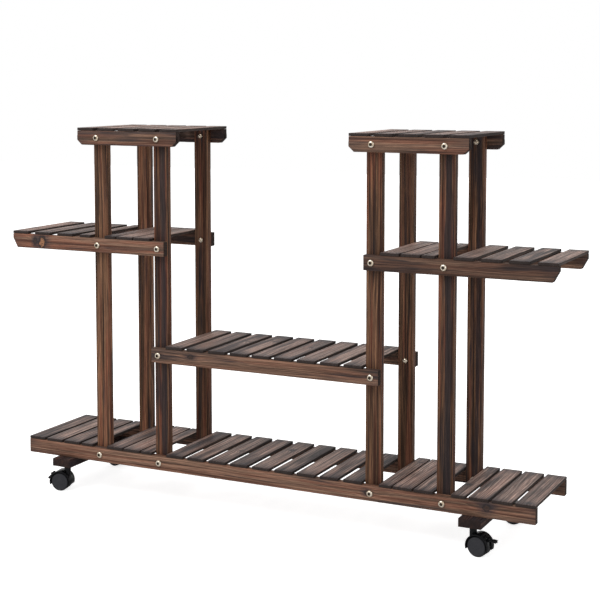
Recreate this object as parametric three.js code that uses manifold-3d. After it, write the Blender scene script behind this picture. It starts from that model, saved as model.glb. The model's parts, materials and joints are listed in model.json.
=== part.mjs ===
// Rolling flower stand in dark-stained fir. Six slatted shelves hang on eight posts, and two cross
// beams carry the stand on four twin-wheel casters, each with a swivel, two free wheels and a brake pedal.
// Millimetres, +Z up, +X along the stand, front towards -Y. The origin is on the floor, under its middle.
import * as THREE from 'three';
import { mergeVertices } from 'three/addons/utils/BufferGeometryUtils.js';
import Module from 'manifold-3d';

// ---------------------------------------------------------------- driving dimensions: wood
const overallLength = 1200;        // tip to tip of the two middle shelves
const overallHeight = 777;         // floor to the top of the highest slats
const bottomShelfLength = 1128;
const topShelfLength = 240;
const shelfDepth = 210;            // front face of the front rails to rear face of the rear rails
const railHeight = 30;
const railThickness = 15;
const postWidth = 32;              // along X
const postThickness = 16;          // along Y
const outerPostX = 383;            // post centres, left and right of the middle
const innerPostX = 237;
const centreShelfRise = 225;       // underside of the bottom rails to underside of each shelf's rails
const middleShelfRise = 445;
const slatThickness = 6;
const slatWidth = 39;
const leastSlatWidth = 20;         // of a slat that is ripped to fit what is left of its bay
const openGap = 10;                // nominal daylight between the slats of the top and centre bays
const leastSlatGap = 1;
const towerGap = 3;                // between the slats inside a tower
const bottomEndGap = 6;            // between the slats at the ends of the bottom shelf
const middleLeftGap = 18.5;        // and at the free ends of the two middle shelves
const middleRightGap = 14.3;
const slatToPost = 2;              // clearance between a slat's long edge and a post
const topClipLength = 12;          // clipped lower corners at the ends of the top rails
const topClipHeight = 14;
const middleClipLength = 12;       // and at the free ends of the middle rails
const middleClipHeight = 19;
const beamWidth = 45;
const beamThickness = 17;
const beamOverhang = 20;           // how far a cross beam stands out in front of and behind the shelf
const beamInsetLeft = 96.5;        // ends of the bottom shelf to the middles of the cross beams
const beamInsetRight = 119;

// ---------------------------------------------------------------- driving dimensions: bolts
const shankRadius = 3;
const shankClearance = 0.4;
const headRadius = 6.5;
const headHeight = 3.4;
const nutRadius = 5.2;
const nutHeight = 4.5;
const boltSides = 8;
const domeSteps = 3;               // rings on the round head and on the cap nut

// ---------------------------------------------------------------- driving dimensions: casters
const casterHeight = 55;           // floor to the underside of the cross beams
const wheelRadius = 20;
const wheelSides = 20;
const rimWidth = 3.5;              // tread to the flat of the wheel's face
const treadRounding = 1.5;
const rimInset = 1.2;
const wheelOuterFace = 14;         // half the width over the two wheels
const wheelFaceWall = 2.7;         // over the end of the axle
const webThickness = 4;            // the hood's centre wall, which holds the axle
const wheelToWeb = 0.5;
const wheelToHood = 0.8;
const hoodWall = 2.2;
const hoodOverhang = 0.6;          // how far the hood's rims stand proud of the wheels' faces
const hoodFrontAngle = 197;        // the hood's arc, in degrees about the axle from the trailing side
const hoodBackAngle = -17;
const casterTrail = 13;            // swivel axis to axle
const axleRadius = 3;
const axleBossRadius = 6;
const neckRadius = 7;
const neckRise = 10;               // axle to the foot of the neck, which runs into the hood
const shoulderDrop = 5;            // underside of the beam to the neck's shoulder
const shoulderChamfer = 1.2;
const collarRadius = 5.8;          // of the neck above its shoulder
const stemRadius = 4;
const stemClearance = 0.4;
const stemEndGap = 1;
const stemCover = 2.5;             // wood left over the blind hole for the stem
const stemInset = 22.5;            // end of a cross beam to the swivel axis
const runningGap = 0.3;            // between pieces that turn against each other
const roundSides = 12;             // facets on pins, stems and bores
const hoodSides = 24;              // facets on the hood's inside
const casterTurn = { front_left: 192, front_right: -8, rear_left: 168, rear_right: 12 };

// ---------------------------------------------------------------- driving dimensions: brake pedals
const pedalPivotOut = 2.4;         // outside of the hood to the pivot pin
const pedalPivotAngle = 36;        // of the pin about the axle
const pedalTravel = 40;            // from lifted to pressed
const pedalLiftedDip = 10;         // how far the lifted pedal points below level
const pedalBarrelRadius = 2.2;
const pedalHalfWidth = 3.9;
const pedalPadHalfWidth = 5.5;
const pedalReach = 15;             // pivot to the tip of the pad
const pedalArmHalfDepth = 1.3;
const pedalTipHalfDepth = 2.8;     // the tip flares into an upper and a lower lip
const pedalTipNotch = 2.8;         // and this deep between them
const pedalPinRadius = 1.2;
const shoeHalfWidth = 1.2;
const brakeGap = 0.4;              // pressed shoe to the treads
const earThickness = 2;
const earRadius = 2.8;
const hoodSlotTopAngle = 46;       // the slot in the hood that the shoe works through
const hoodSlotBottomAngle = -20;
const pressedPedals = ['front_left'];

const overrun = 1;                 // how far a cut passes the face it opens, and a join runs in
const mergeDistance = 1e-4;

// ---------------------------------------------------------------- places worked out from them
const halfDepth = shelfDepth / 2;
const beamUnderside = casterHeight;
const railBase = casterHeight + beamThickness;
const topShelfRise = overallHeight - slatThickness - railHeight - railBase;
const beamX = {
  left: beamInsetLeft - bottomShelfLength / 2,
  right: bottomShelfLength / 2 - beamInsetRight,
};
const postFrontY = halfDepth - railThickness;             // outer face of a post, measured from the middle
const postBackY = postFrontY - postThickness;
const postLeft = (x) => x - postWidth / 2;
const postRight = (x) => x + postWidth / 2;
const postTop = railBase + topShelfRise + railHeight;
const shankHoleRadius = shankRadius + shankClearance;
const towerInnerEdge = innerPostX - postWidth / 2;
const towerOuterEdge = innerPostX + postWidth / 2;
const towerMiddleX = (outerPostX + innerPostX) / 2;
const sides = [['left', -1], ['right', 1]];
const rows = [['front', -1], ['rear', 1]];
const beamHalfLength = halfDepth + beamOverhang;
const stemY = beamHalfLength - stemInset;
const axleZ = wheelRadius * Math.cos(Math.PI / wheelSides);
const stemHoleRadius = stemRadius + stemClearance;
const stemHoleDepth = beamThickness - stemCover;
const stemTop = beamUnderside + stemHoleDepth - stemEndGap;
const wheelInnerFace = webThickness / 2 + wheelToWeb;
const wheelFaceRadius = wheelRadius - rimWidth;
const axleHalfLength = wheelOuterFace - wheelFaceWall - runningGap;
const hoodHalfWidth = wheelOuterFace + hoodOverhang;
const hoodInner = wheelRadius + wheelToHood;
const hoodOuter = hoodInner + hoodWall;
const neckFoot = axleZ + neckRise;
const neckTop = beamUnderside - runningGap;
const shoulder = beamUnderside - shoulderDrop;
const pedalPivotRadius = hoodOuter + pedalPivotOut;
const shoeReach = pedalPivotRadius - wheelRadius - brakeGap;
const earHoleRadius = pedalPinRadius + runningGap;
const radians = THREE.MathUtils.degToRad;

// ---------------------------------------------------------------- materials
const finish = (color, roughness, metalness = 0) =>
  new THREE.MeshStandardMaterial({ color, roughness, metalness });
const shelfWood = finish(0x4b352b, 0.62);
const postWood = finish(0x543a2d, 0.62);
const beamWood = finish(0x33261f, 0.68);
const boltMetal = finish(0xd9d2c4, 0.3, 1);
const hoodPlastic = finish(0x101114, 0.38);
const wheelPlastic = finish(0x25262b, 0.45);
const pedalPlastic = finish(0x0c0d0f, 0.42);

// ---------------------------------------------------------------- solids
const wasm = await Module();
wasm.setup();

function solidOf(geometry) {
  const bare = geometry.clone();
  bare.deleteAttribute('normal');
  bare.deleteAttribute('uv');
  const merged = mergeVertices(bare, mergeDistance);
  const vertProperties = Float32Array.from(merged.attributes.position.array);
  const triVerts = Uint32Array.from(merged.index.array);
  return new wasm.Manifold(new wasm.Mesh({ numProp: 3, vertProperties, triVerts }));
}

function geometryOf(solid) {
  const mesh = solid.getMesh();
  const geometry = new THREE.BufferGeometry();
  geometry.setAttribute('position', new THREE.BufferAttribute(mesh.vertProperties, 3));
  geometry.setIndex(new THREE.BufferAttribute(mesh.triVerts, 1));
  geometry.computeVertexNormals();
  return geometry;
}

function block(x0, x1, y0, y1, z0, z1) {
  const geometry = new THREE.BoxGeometry(x1 - x0, y1 - y0, z1 - z0);
  return geometry.translate((x0 + x1) / 2, (y0 + y1) / 2, (z0 + z1) / 2);
}

// a round bar along Y from y0 to y1, centred on (x, z)
function barAlongY(radius, x, z, y0, y1, facets) {
  return new THREE.CylinderGeometry(radius, radius, y1 - y0, facets).translate(x, (y0 + y1) / 2, z);
}

function barAlongZ(radius, z0, z1, facets) {
  const bar = new THREE.CylinderGeometry(radius, radius, z1 - z0, facets);
  return bar.rotateX(Math.PI / 2).translate(0, 0, (z0 + z1) / 2);
}

// an outline drawn in X and Z, given thickness along Y
function plate(outline, y0, y1) {
  const shape = outline instanceof THREE.Shape ? outline : new THREE.Shape(outline);
  const settings = { depth: y1 - y0, bevelEnabled: false, curveSegments: roundSides };
  const geometry = new THREE.ExtrudeGeometry(shape, settings);
  return geometry.rotateX(Math.PI / 2).translate(0, y1, 0);
}

const stand = new THREE.Group();

function addMesh(parent, name, geometry, material) {
  const mesh = new THREE.Mesh(geometry, material);
  mesh.name = name;
  parent.add(mesh);
  return mesh;
}

// ---------------------------------------------------------------- shelves
// Each shelf is a nailed panel: a front and a rear rail with slats across them.
const shelves = [
  { name: 'bottom_shelf', rise: 0, from: -bottomShelfLength / 2, to: bottomShelfLength / 2,
    posts: [-outerPostX, -innerPostX, innerPostX, outerPostX], clips: [0, 0],
    endGap: bottomEndGap, towersLaidFrom: 'outside' },
  { name: 'centre_shelf', rise: centreShelfRise, from: -towerOuterEdge, to: towerOuterEdge,
    posts: [-innerPostX, innerPostX], clips: [0, 0] },
  { name: 'middle_shelf_left', rise: middleShelfRise, from: -overallLength / 2, to: -towerInnerEdge,
    posts: [-outerPostX, -innerPostX], clips: [1, 0],
    endGap: middleLeftGap, towersLaidFrom: 'inside' },
  { name: 'middle_shelf_right', rise: middleShelfRise, from: towerInnerEdge, to: overallLength / 2,
    posts: [innerPostX, outerPostX], clips: [0, 1],
    endGap: middleRightGap, towersLaidFrom: 'inside' },
];
const middleClip = { length: middleClipLength, height: middleClipHeight };
const topClip = { length: topClipLength, height: topClipHeight };

// the top shelves lie on the post ends, so no post breaks their row of slats
for (const [side, sign] of sides) {
  const middle = sign * towerMiddleX;
  const from = middle - topShelfLength / 2;
  const posts = [sign * outerPostX, sign * innerPostX];
  shelves.push({ name: `top_shelf_${side}`, rise: topShelfRise, from, to: from + topShelfLength,
    posts, overPosts: true, clips: [1, 1], clip: topClip });
}

// slats laid side by side from one edge of a bay to the other; the last is ripped to what is left
function slatRun(first, last, gap) {
  const way = Math.sign(last - first);
  const spans = [];
  for (let near = first; way * (last - near) >= leastSlatWidth; near += way * (slatWidth + gap)) {
    const far = near + way * Math.min(slatWidth, way * (last - near));
    spans.push({ left: Math.min(near, far), right: Math.max(near, far) });
  }
  return spans;
}

// the gap that spreads whole slats evenly over a bay, edge to edge
function evenGap(room, nominal) {
  const wanted = Math.round(room / (slatWidth + nominal));
  const fitting = Math.floor((room + leastSlatGap) / (slatWidth + leastSlatGap));
  const count = Math.max(1, Math.min(wanted, fitting));
  return count > 1 ? (room - count * slatWidth) / (count - 1) : room;
}

// the slats of one shelf, bay by bay between its ends and its posts, or in one row when it lies over them
function slatSpans(shelf) {
  const evenRun = (start, end) => slatRun(start, end, evenGap(end - start, openGap));
  if (shelf.overPosts) return evenRun(shelf.from, shelf.to);
  const spans = [];
  for (let bay = 0; bay <= shelf.posts.length; bay += 1) {
    const before = shelf.posts[bay - 1];
    const after = shelf.posts[bay];
    const start = before === undefined ? shelf.from : postRight(before) + slatToPost;
    const end = after === undefined ? shelf.to : postLeft(after) - slatToPost;
    if (end - start < leastSlatWidth) continue;
    const inTower = before * after > 0;
    const startIsInside = before > 0;
    if (before === undefined) spans.push(...slatRun(start, end, shelf.endGap));
    else if (after === undefined) spans.push(...slatRun(end, start, shelf.endGap));
    else if (!inTower) spans.push(...evenRun(start, end));
    else if (startIsInside === (shelf.towersLaidFrom === 'inside')) {
      spans.push(...slatRun(start, end, towerGap));
    } else spans.push(...slatRun(end, start, towerGap));
  }
  return spans;
}

// a rail's side view, with its lower corners clipped where the shelf has a free end
function railOutline(shelf) {
  const base = railBase + shelf.rise;
  const top = base + railHeight;
  const clip = shelf.clip ?? middleClip;
  const [left, right] = shelf.clips;
  const leftClip = [[shelf.from, base + clip.height], [shelf.from + clip.length, base]];
  const rightClip = [[shelf.to - clip.length, base], [shelf.to, base + clip.height]];
  const corners = left ? leftClip : [[shelf.from, base]];
  corners.push(...(right ? rightClip : [[shelf.to, base]]));
  corners.push([shelf.to, top], [shelf.from, top]);
  return corners.map(([x, z]) => new THREE.Vector2(x, z));
}

const boltHeight = (shelf) => railBase + shelf.rise + railHeight / 2;

for (const shelf of shelves) {
  const outline = railOutline(shelf);
  const frontRail = solidOf(plate(outline, -halfDepth, -postFrontY));
  const rearRail = solidOf(plate(outline, postFrontY, halfDepth));
  let panel = frontRail.add(rearRail);
  for (const x of shelf.posts) {
    const [y0, y1] = [-halfDepth - overrun, halfDepth + overrun];
    panel = panel.subtract(solidOf(barAlongY(shankHoleRadius, x, boltHeight(shelf), y0, y1, boltSides)));
  }
  const slatBase = railBase + shelf.rise + railHeight;
  for (const { left, right } of slatSpans(shelf)) {
    const slat = block(left, right, -halfDepth, halfDepth, slatBase, slatBase + slatThickness);
    panel = panel.add(solidOf(slat));
  }
  addMesh(stand, shelf.name, geometryOf(panel), shelfWood);
}

// ---------------------------------------------------------------- posts
const postPlaces = [
  ['outer_left', -outerPostX],
  ['inner_left', -innerPostX],
  ['inner_right', innerPostX],
  ['outer_right', outerPostX],
];

for (const [row, side] of rows) {
  const y0 = Math.min(side * postFrontY, side * postBackY);
  const y1 = y0 + postThickness;
  for (const [place, x] of postPlaces) {
    let post = solidOf(block(postLeft(x), postRight(x), y0, y1, railBase, postTop));
    for (const shelf of shelves.filter(({ posts }) => posts.includes(x))) {
      const height = boltHeight(shelf);
      const hole = barAlongY(shankHoleRadius, x, height, y0 - overrun, y1 + overrun, boltSides);
      post = post.subtract(solidOf(hole));
    }
    addMesh(stand, `post_${row}_${place}`, geometryOf(post), postWood);
  }
}

// ---------------------------------------------------------------- bolts
// One connector bolt and its cap nut clamp a rail to a post at every crossing.
const grip = railThickness + postThickness;

// a quarter round, from its crown on the axis to its full radius
function dome(radius, height) {
  return Array.from({ length: domeSteps + 1 }, (_, step) => {
    const angle = (step / domeSteps) * Math.PI / 2;
    return [radius * Math.sin(angle), height * Math.cos(angle)];
  });
}

function boltProfile() {
  const head = dome(headRadius, headHeight).map(([radius, along]) => [radius, -along]);
  const capBase = grip + nutHeight / 2;
  const cap = dome(nutRadius, nutHeight / 2).map(([radius, along]) => [radius, capBase + along]);
  const outline = [...head, [shankRadius, 0], [shankRadius, grip], [nutRadius, grip], ...cap.reverse()];
  return outline.map(([radius, along]) => new THREE.Vector2(radius, along));
}

for (const shelf of shelves) {
  for (const x of shelf.posts) {
    const [place] = postPlaces.find(([, postX]) => postX === x);
    for (const [row, side] of rows) {
      const geometry = new THREE.LatheGeometry(boltProfile(), boltSides, Math.PI / boltSides);
      const level = shelf.name.split('_shelf')[0];
      const bolt = addMesh(stand, `bolt_${level}_${row}_${place}`, geometry, boltMetal);
      bolt.position.set(x, side * halfDepth, boltHeight(shelf));
      bolt.rotation.z = side > 0 ? Math.PI : 0;
    }
  }
}

// ---------------------------------------------------------------- cross beams
for (const [side] of sides) {
  const x = beamX[side];
  const [x0, x1] = [x - beamWidth / 2, x + beamWidth / 2];
  let beam = solidOf(block(x0, x1, -beamHalfLength, beamHalfLength, beamUnderside, railBase));
  for (const y of [-stemY, stemY]) {
    const holeTop = beamUnderside + stemHoleDepth;
    const hole = barAlongZ(stemHoleRadius, beamUnderside - overrun, holeTop, roundSides);
    beam = beam.subtract(solidOf(hole.translate(x, y, 0)));
  }
  addMesh(stand, `cross_beam_${side}`, geometryOf(beam), beamWood);
}

// ---------------------------------------------------------------- casters
// Drawn with the swivel axis on Z and the wheels trailing towards +X; angles run about the axle from +X up.
const polar = (radius, angle) => ({
  x: casterTrail + radius * Math.cos(radians(angle)),
  z: axleZ + radius * Math.sin(radians(angle)),
});
const pivot = polar(pedalPivotRadius, pedalPivotAngle);

function sector(inner, outer, fromAngle, toAngle) {
  const shape = new THREE.Shape();
  shape.absarc(casterTrail, axleZ, outer, radians(fromAngle), radians(toAngle), false);
  if (inner > 0) shape.absarc(casterTrail, axleZ, inner, radians(toAngle), radians(fromAngle), true);
  else shape.lineTo(casterTrail, axleZ);
  shape.closePath();
  return shape;
}

// a span of Y on one side of the middle, in rising order
const spanOn = (side, near, far) => (side > 0 ? [near, far] : [-far, -near]);

// the ears that carry the pedal's pin, one on each side of it
function earSolid(side) {
  const [y0, y1] = spanOn(side, pedalHalfWidth + runningGap, pedalHalfWidth + runningGap + earThickness);
  const rootLength = pedalPivotRadius - hoodOuter + hoodWall / 2;
  const root = new THREE.BoxGeometry(rootLength, y1 - y0, earRadius * 2);
  root.translate(pedalPivotRadius - rootLength / 2, (y0 + y1) / 2, 0).rotateY(-radians(pedalPivotAngle));
  const tip = solidOf(barAlongY(earRadius, pivot.x, pivot.z, y0, y1, roundSides));
  return solidOf(root.translate(casterTrail, 0, axleZ)).add(tip);
}

// the neck, the collar above its shoulder and the stem, turned about the swivel axis
function swivelPost() {
  const profile = [
    [0, neckFoot], [neckRadius, neckFoot], [neckRadius, shoulder],
    [collarRadius, shoulder + shoulderChamfer], [collarRadius, neckTop],
    [stemRadius, neckTop], [stemRadius, stemTop], [0, stemTop],
  ].map(([radius, along]) => new THREE.Vector2(radius, along));
  return new THREE.LatheGeometry(profile, roundSides).rotateX(Math.PI / 2);
}

function hoodSolid() {
  const overWheels = sector(0, hoodOuter, hoodBackAngle, hoodFrontAngle);
  const aboutAxle = (radius, y0, y1, facets) =>
    solidOf(barAlongY(radius, casterTrail, axleZ, y0, y1, facets));
  let hood = solidOf(plate(overWheels, -hoodHalfWidth, hoodHalfWidth));
  hood = hood.add(solidOf(swivelPost()));
  for (const side of [-1, 1]) {
    const [y0, y1] = spanOn(side, webThickness / 2, hoodHalfWidth + overrun);
    hood = hood.subtract(aboutAxle(hoodInner, y0, y1, hoodSides));
  }
  hood = hood.add(aboutAxle(axleBossRadius, -webThickness / 2, webThickness / 2, roundSides));
  hood = hood.add(aboutAxle(axleRadius, -axleHalfLength, axleHalfLength, roundSides));
  const slotHalfWidth = pedalHalfWidth + runningGap;
  const slotInner = wheelRadius - wheelToHood;
  const slot = sector(slotInner, hoodOuter + overrun, hoodSlotBottomAngle, hoodSlotTopAngle);
  hood = hood.subtract(solidOf(plate(slot, -slotHalfWidth, slotHalfWidth)));
  hood = hood.add(earSolid(-1)).add(earSolid(1));
  const pinHole = barAlongY(earHoleRadius, pivot.x, pivot.z, -hoodHalfWidth, hoodHalfWidth, roundSides);
  return hood.subtract(solidOf(pinHole));
}

// one wheel about the Y axis, its blind bore open towards the web
function wheelGeometry() {
  const boreRadius = axleRadius + runningGap;
  const boreEnd = axleHalfLength + runningGap;
  const profile = [
    [0, boreEnd], [boreRadius, boreEnd], [boreRadius, wheelInnerFace],
    [wheelRadius - treadRounding, wheelInnerFace], [wheelRadius, wheelInnerFace + treadRounding],
    [wheelRadius, wheelOuterFace - 2 * treadRounding],
    [wheelRadius - rimInset, wheelOuterFace - treadRounding],
    [wheelFaceRadius, wheelOuterFace], [0, wheelOuterFace],
  ].map(([radius, along]) => new THREE.Vector2(radius, along));
  return new THREE.LatheGeometry(profile, wheelSides, Math.PI / wheelSides);
}

// the lifted pedal, drawn about its pin: a barrel, a lever out to a flared pad, and a shoe that swings
// in to point straight at the treads once the pad is pressed
function pedalSolid() {
  const from = (angle) => (along, across) => new THREE.Vector2(along, across)
    .rotateAround(new THREE.Vector2(), radians(angle));
  const lever = from(-pedalLiftedDip);
  const padStart = earRadius + pedalBarrelRadius;
  const armEnd = padStart + overrun;
  const arm = [
    lever(0, pedalArmHalfDepth), lever(0, -pedalArmHalfDepth),
    lever(armEnd, -pedalArmHalfDepth), lever(armEnd, pedalArmHalfDepth),
  ];
  const pad = [
    lever(padStart, pedalArmHalfDepth), lever(padStart, -pedalArmHalfDepth),
    lever(pedalReach, -pedalTipHalfDepth), lever(pedalReach - pedalTipNotch, 0),
    lever(pedalReach, pedalTipHalfDepth),
  ];
  const inward = from(pedalPivotAngle + 180 + pedalTravel);
  const shoe = [
    inward(0, shoeHalfWidth), inward(0, -shoeHalfWidth),
    inward(shoeReach, -shoeHalfWidth), inward(shoeReach, shoeHalfWidth),
  ];
  const aboutPin = (radius, halfLength) =>
    solidOf(barAlongY(radius, 0, 0, -halfLength, halfLength, roundSides));
  return aboutPin(pedalBarrelRadius, pedalHalfWidth)
    .add(solidOf(plate(arm, -pedalHalfWidth, pedalHalfWidth)))
    .add(solidOf(plate(shoe, -pedalHalfWidth, pedalHalfWidth)))
    .add(solidOf(plate(pad, -pedalPadHalfWidth, pedalPadHalfWidth)))
    .add(aboutPin(pedalPinRadius, pedalHalfWidth + earThickness));
}

const hoodGeometry = geometryOf(hoodSolid());
const pedalGeometry = geometryOf(pedalSolid());
for (const [row, sideY] of rows) {
  for (const [side] of sides) {
    const corner = `${row}_${side}`;
    const caster = new THREE.Group();
    caster.position.set(beamX[side], sideY * stemY, 0);
    caster.rotation.z = radians(casterTurn[corner]);
    stand.add(caster);
    addMesh(caster, `caster_hood_${corner}`, hoodGeometry, hoodPlastic);
    const pedal = addMesh(caster, `brake_pedal_${corner}`, pedalGeometry, pedalPlastic);
    pedal.position.set(pivot.x, 0, pivot.z);
    pedal.rotation.y = pressedPedals.includes(corner) ? radians(pedalTravel) : 0;
    for (const [face, turn] of [['outer', 0], ['inner', Math.PI]]) {
      const wheel = addMesh(caster, `wheel_${face}_${corner}`, wheelGeometry(), wheelPlastic);
      wheel.position.set(casterTrail, 0, axleZ);
      wheel.rotation.z = turn;
    }
  }
}

export default stand;
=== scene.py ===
# %% [markdown]
# # A rolling plant stand in dark-stained fir
# The real stand is a kit of planed softwood boards that were scorched, brushed and oiled before they were
# bolted together. Six slatted shelves hang on eight posts, and two cross beams carry it on four twin-wheel
# casters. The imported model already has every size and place, so this file only dresses it: each board,
# bolt, hood, wheel and pedal is modelled again with the edges and surface that the eye expects, and it
# rides on the body that the model gives it.

# %% Load the frame
import json
import math
import random

import bmesh
import bpy
import numpy as np
from mathutils import Matrix, Vector


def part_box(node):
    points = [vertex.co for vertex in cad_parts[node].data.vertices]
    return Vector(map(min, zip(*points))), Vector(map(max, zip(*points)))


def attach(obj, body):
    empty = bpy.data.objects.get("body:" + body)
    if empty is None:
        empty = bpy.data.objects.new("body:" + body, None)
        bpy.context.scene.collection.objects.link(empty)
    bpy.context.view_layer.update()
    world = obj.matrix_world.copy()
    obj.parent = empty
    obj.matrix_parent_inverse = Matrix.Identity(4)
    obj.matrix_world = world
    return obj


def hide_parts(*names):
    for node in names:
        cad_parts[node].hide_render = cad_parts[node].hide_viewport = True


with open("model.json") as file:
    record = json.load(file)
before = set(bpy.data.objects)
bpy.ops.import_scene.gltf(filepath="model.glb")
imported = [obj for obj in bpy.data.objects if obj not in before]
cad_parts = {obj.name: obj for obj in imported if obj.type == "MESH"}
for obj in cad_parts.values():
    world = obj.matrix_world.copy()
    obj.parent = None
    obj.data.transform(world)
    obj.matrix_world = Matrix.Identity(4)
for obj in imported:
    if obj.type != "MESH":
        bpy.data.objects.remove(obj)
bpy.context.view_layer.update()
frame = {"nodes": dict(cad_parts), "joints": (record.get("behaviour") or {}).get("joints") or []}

# %% [markdown]
# ## Working by hand, in code
# Operators act on whatever is selected, and loading the model leaves all of it selected. These few helpers
# clear the selection, start a primitive at its place, and pick faces by where they are and which way they
# look, as a maker would with the mouse. Transforms are applied at once, so that a piece's object stays at
# the origin and its place is in its mesh.

# %% Select, settle and modify a piece
X, Y, Z = 0, 1, 2
AXES = (Vector((1, 0, 0)), Vector((0, 1, 0)), Vector((0, 0, 1)))


def only(piece):
    bpy.ops.object.select_all(action="DESELECT")
    piece.select_set(True)
    bpy.context.view_layer.objects.active = piece


def settle(piece):
    """Writes the object's place, turn and scale into its mesh."""
    only(piece)
    bpy.ops.object.transform_apply(location=True, rotation=True, scale=True)
    return piece


def modify(piece, kind, **settings):
    """Adds one modifier, sets it up and applies it."""
    only(piece)
    modifier = piece.modifiers.new(kind.lower(), kind)
    for name, value in settings.items():
        setattr(modifier, name, value)
    bpy.ops.object.modifier_apply(modifier=modifier.name)


# %% Start a piece, copy it, discard it
def block(name, low, high):
    bpy.ops.object.select_all(action="DESELECT")
    bpy.ops.mesh.primitive_cube_add(size=1, location=(Vector(low) + Vector(high)) / 2)
    piece = bpy.context.object
    piece.name = name
    piece.scale = Vector(high) - Vector(low)
    return settle(piece)


def round_bar(name, radius, start, end, sides):
    """A cylinder from one point to another, of that many sides."""
    run = Vector(end) - Vector(start)
    bpy.ops.object.select_all(action="DESELECT")
    bpy.ops.mesh.primitive_cylinder_add(
        vertices=sides, radius=radius, depth=run.length,
        location=(Vector(start) + Vector(end)) / 2, rotation=run.to_track_quat("Z", "Y").to_euler())
    piece = bpy.context.object
    piece.name = name
    return settle(piece)


def copy_of(original, name):
    """A copy with a mesh of its own."""
    piece = original.copy()
    piece.data = original.data.copy()
    piece.name = name
    piece.data.name = name
    bpy.context.scene.collection.objects.link(piece)
    return piece


def discard(*pieces):
    for piece in pieces:
        bpy.data.objects.remove(piece)


# %% Edit mode
class Editing:
    """with Editing(piece) as edit: opens the piece in edit mode and leaves it again."""

    def __init__(self, piece):
        self.piece = piece

    def __enter__(self):
        only(self.piece)
        bpy.ops.object.mode_set(mode="EDIT")
        bpy.ops.mesh.select_mode(type="FACE")
        bpy.ops.mesh.select_all(action="SELECT")
        return self

    def __exit__(self, *_):
        bpy.ops.object.mode_set(mode="OBJECT")

    def pick(self, wanted):
        """Selects the faces for which wanted(centre, normal) is true."""
        mesh = bmesh.from_edit_mesh(self.piece.data)
        for face in mesh.faces:
            face.select_set(bool(wanted(face.calc_center_median(), face.normal)))
        bmesh.update_edit_mesh(self.piece.data)

    def cut(self, point, normal, **settings):
        bpy.ops.mesh.select_all(action="SELECT")
        bpy.ops.mesh.bisect(plane_co=point, plane_no=normal, **settings)


# %% [markdown]
# ## The boards
# Every board starts as a block between two corners. Plane cuts across and along it give the surface enough
# points to be slightly uneven, the way brushed softwood is once the soft rings are scrubbed out. A bevel
# eases the arrises, because a planed edge is sanded by hand and never razor sharp.

# %% Sizes of a board's surface
CUT_SPACING = 0.011               # metres between cuts
ARRIS = 0.0009
ARRIS_STEPS = 2
SHARP = 30                        # degrees, past which an edge is eased
SOFT = 40                         # degrees, up to which a board is shaded smooth
UNEVEN_SIZE = 0.014
UNEVEN_DEPTH = 0.00045
UNEVEN_LAYERS = 2

unevenness = bpy.data.textures.new("brushed_unevenness", "CLOUDS")
unevenness.noise_scale = UNEVEN_SIZE
unevenness.noise_depth = UNEVEN_LAYERS
print("boards are cut every", CUT_SPACING, "eased by", ARRIS, "and uneven by", UNEVEN_DEPTH)


# %% Cut, ease and wear a board
def corners(piece):
    places = np.array([vertex.co for vertex in piece.data.vertices])
    return Vector(places.min(axis=0)), Vector(places.max(axis=0))


def cut_up(piece):
    """Cuts the block into cells of about one spacing, so that its faces can be shaped."""
    low, high = corners(piece)
    with Editing(piece) as edit:
        for axis in (X, Y, Z):
            length = high[axis] - low[axis]
            cells = max(2, round(length / CUT_SPACING))
            for step in range(1, cells):
                edit.cut(low + AXES[axis] * (length * step / cells), AXES[axis])


def ease_edges(piece, width=ARRIS, steps=ARRIS_STEPS):
    modify(piece, "BEVEL", width=width, segments=steps, limit_method="ANGLE",
           angle_limit=math.radians(SHARP), use_clamp_overlap=True)


def make_uneven(piece):
    """Wears hollows into the faces, and never raises them, so the board keeps inside its size."""
    modify(piece, "DISPLACE", texture=unevenness, strength=UNEVEN_DEPTH, mid_level=1.0,
           texture_coords="LOCAL")


def smooth(piece, angle=SOFT):
    only(piece)
    bpy.ops.object.shade_smooth_by_angle(angle=math.radians(angle))


# %% [markdown]
# ## The grain belongs to the board
# A board is sawn from a log, so its pattern is a slice through rings about a pith that lies somewhere beside
# it. If the pattern were read from the stand's own coordinates, it would run straight on from board to
# board. So each board carries its own place in a log as an attribute, in metres along the grain, across it
# and into it, and the material reads that. More attributes hold the way to a knot, the way to a scorched
# stripe, the distance to the board's end, and how pale, how red and how scorched the board came out.

# %% Chance, and storing an attribute
SEED = 2349
chance = random.Random(SEED)


def between(low, high):
    return low + (high - low) * chance.random()


def store(piece, name, kind, domain, values):
    layer = piece.data.attributes.new(name, kind, domain)
    field = "vector" if kind == "FLOAT_VECTOR" else "value"
    layer.data.foreach_set(field, np.asarray(values, np.float32).ravel())


# %% Mark the black faces and the eased edges
FACING = 0.6                      # share of a face's normal that looks along an axis
NEARLY_SQUARE = 0.98


def mark_faces(piece, end_grain_and_gap_shade):
    """Notes the faces that are made near black and the eased edges, while the board is still true.

    The listed axes are those that the black faces look along. The board's length is one of them, for its end
    grain; on a slat its width is the other, for its sides, which are painted black as the shade in the gaps."""
    facing = np.abs(np.array([face.normal for face in piece.data.polygons]))
    black = (facing[:, end_grain_and_gap_shade] > FACING).any(axis=1)
    eased = (facing.max(axis=1) < NEARLY_SQUARE) & ~black
    store(piece, "end_grain_and_gap_shade", "FLOAT", "FACE", black)
    store(piece, "eased_edge", "FLOAT", "FACE", eased)


# %% Lay the board in a log
LOG_LENGTH = 30.0                 # metres, far longer than the pattern takes to change
PITH_NEAR = 0.035                 # metres from the pith to the board's middle
PITH_FAR = 0.095
RING_SLOPES = (8, 50)             # degrees between the rings and the board's face
FAR_AWAY = 99.0                   # for a knot or a stripe that a board doesn't have
KNOT_NAMES = ("knot_one", "knot_two")


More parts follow.
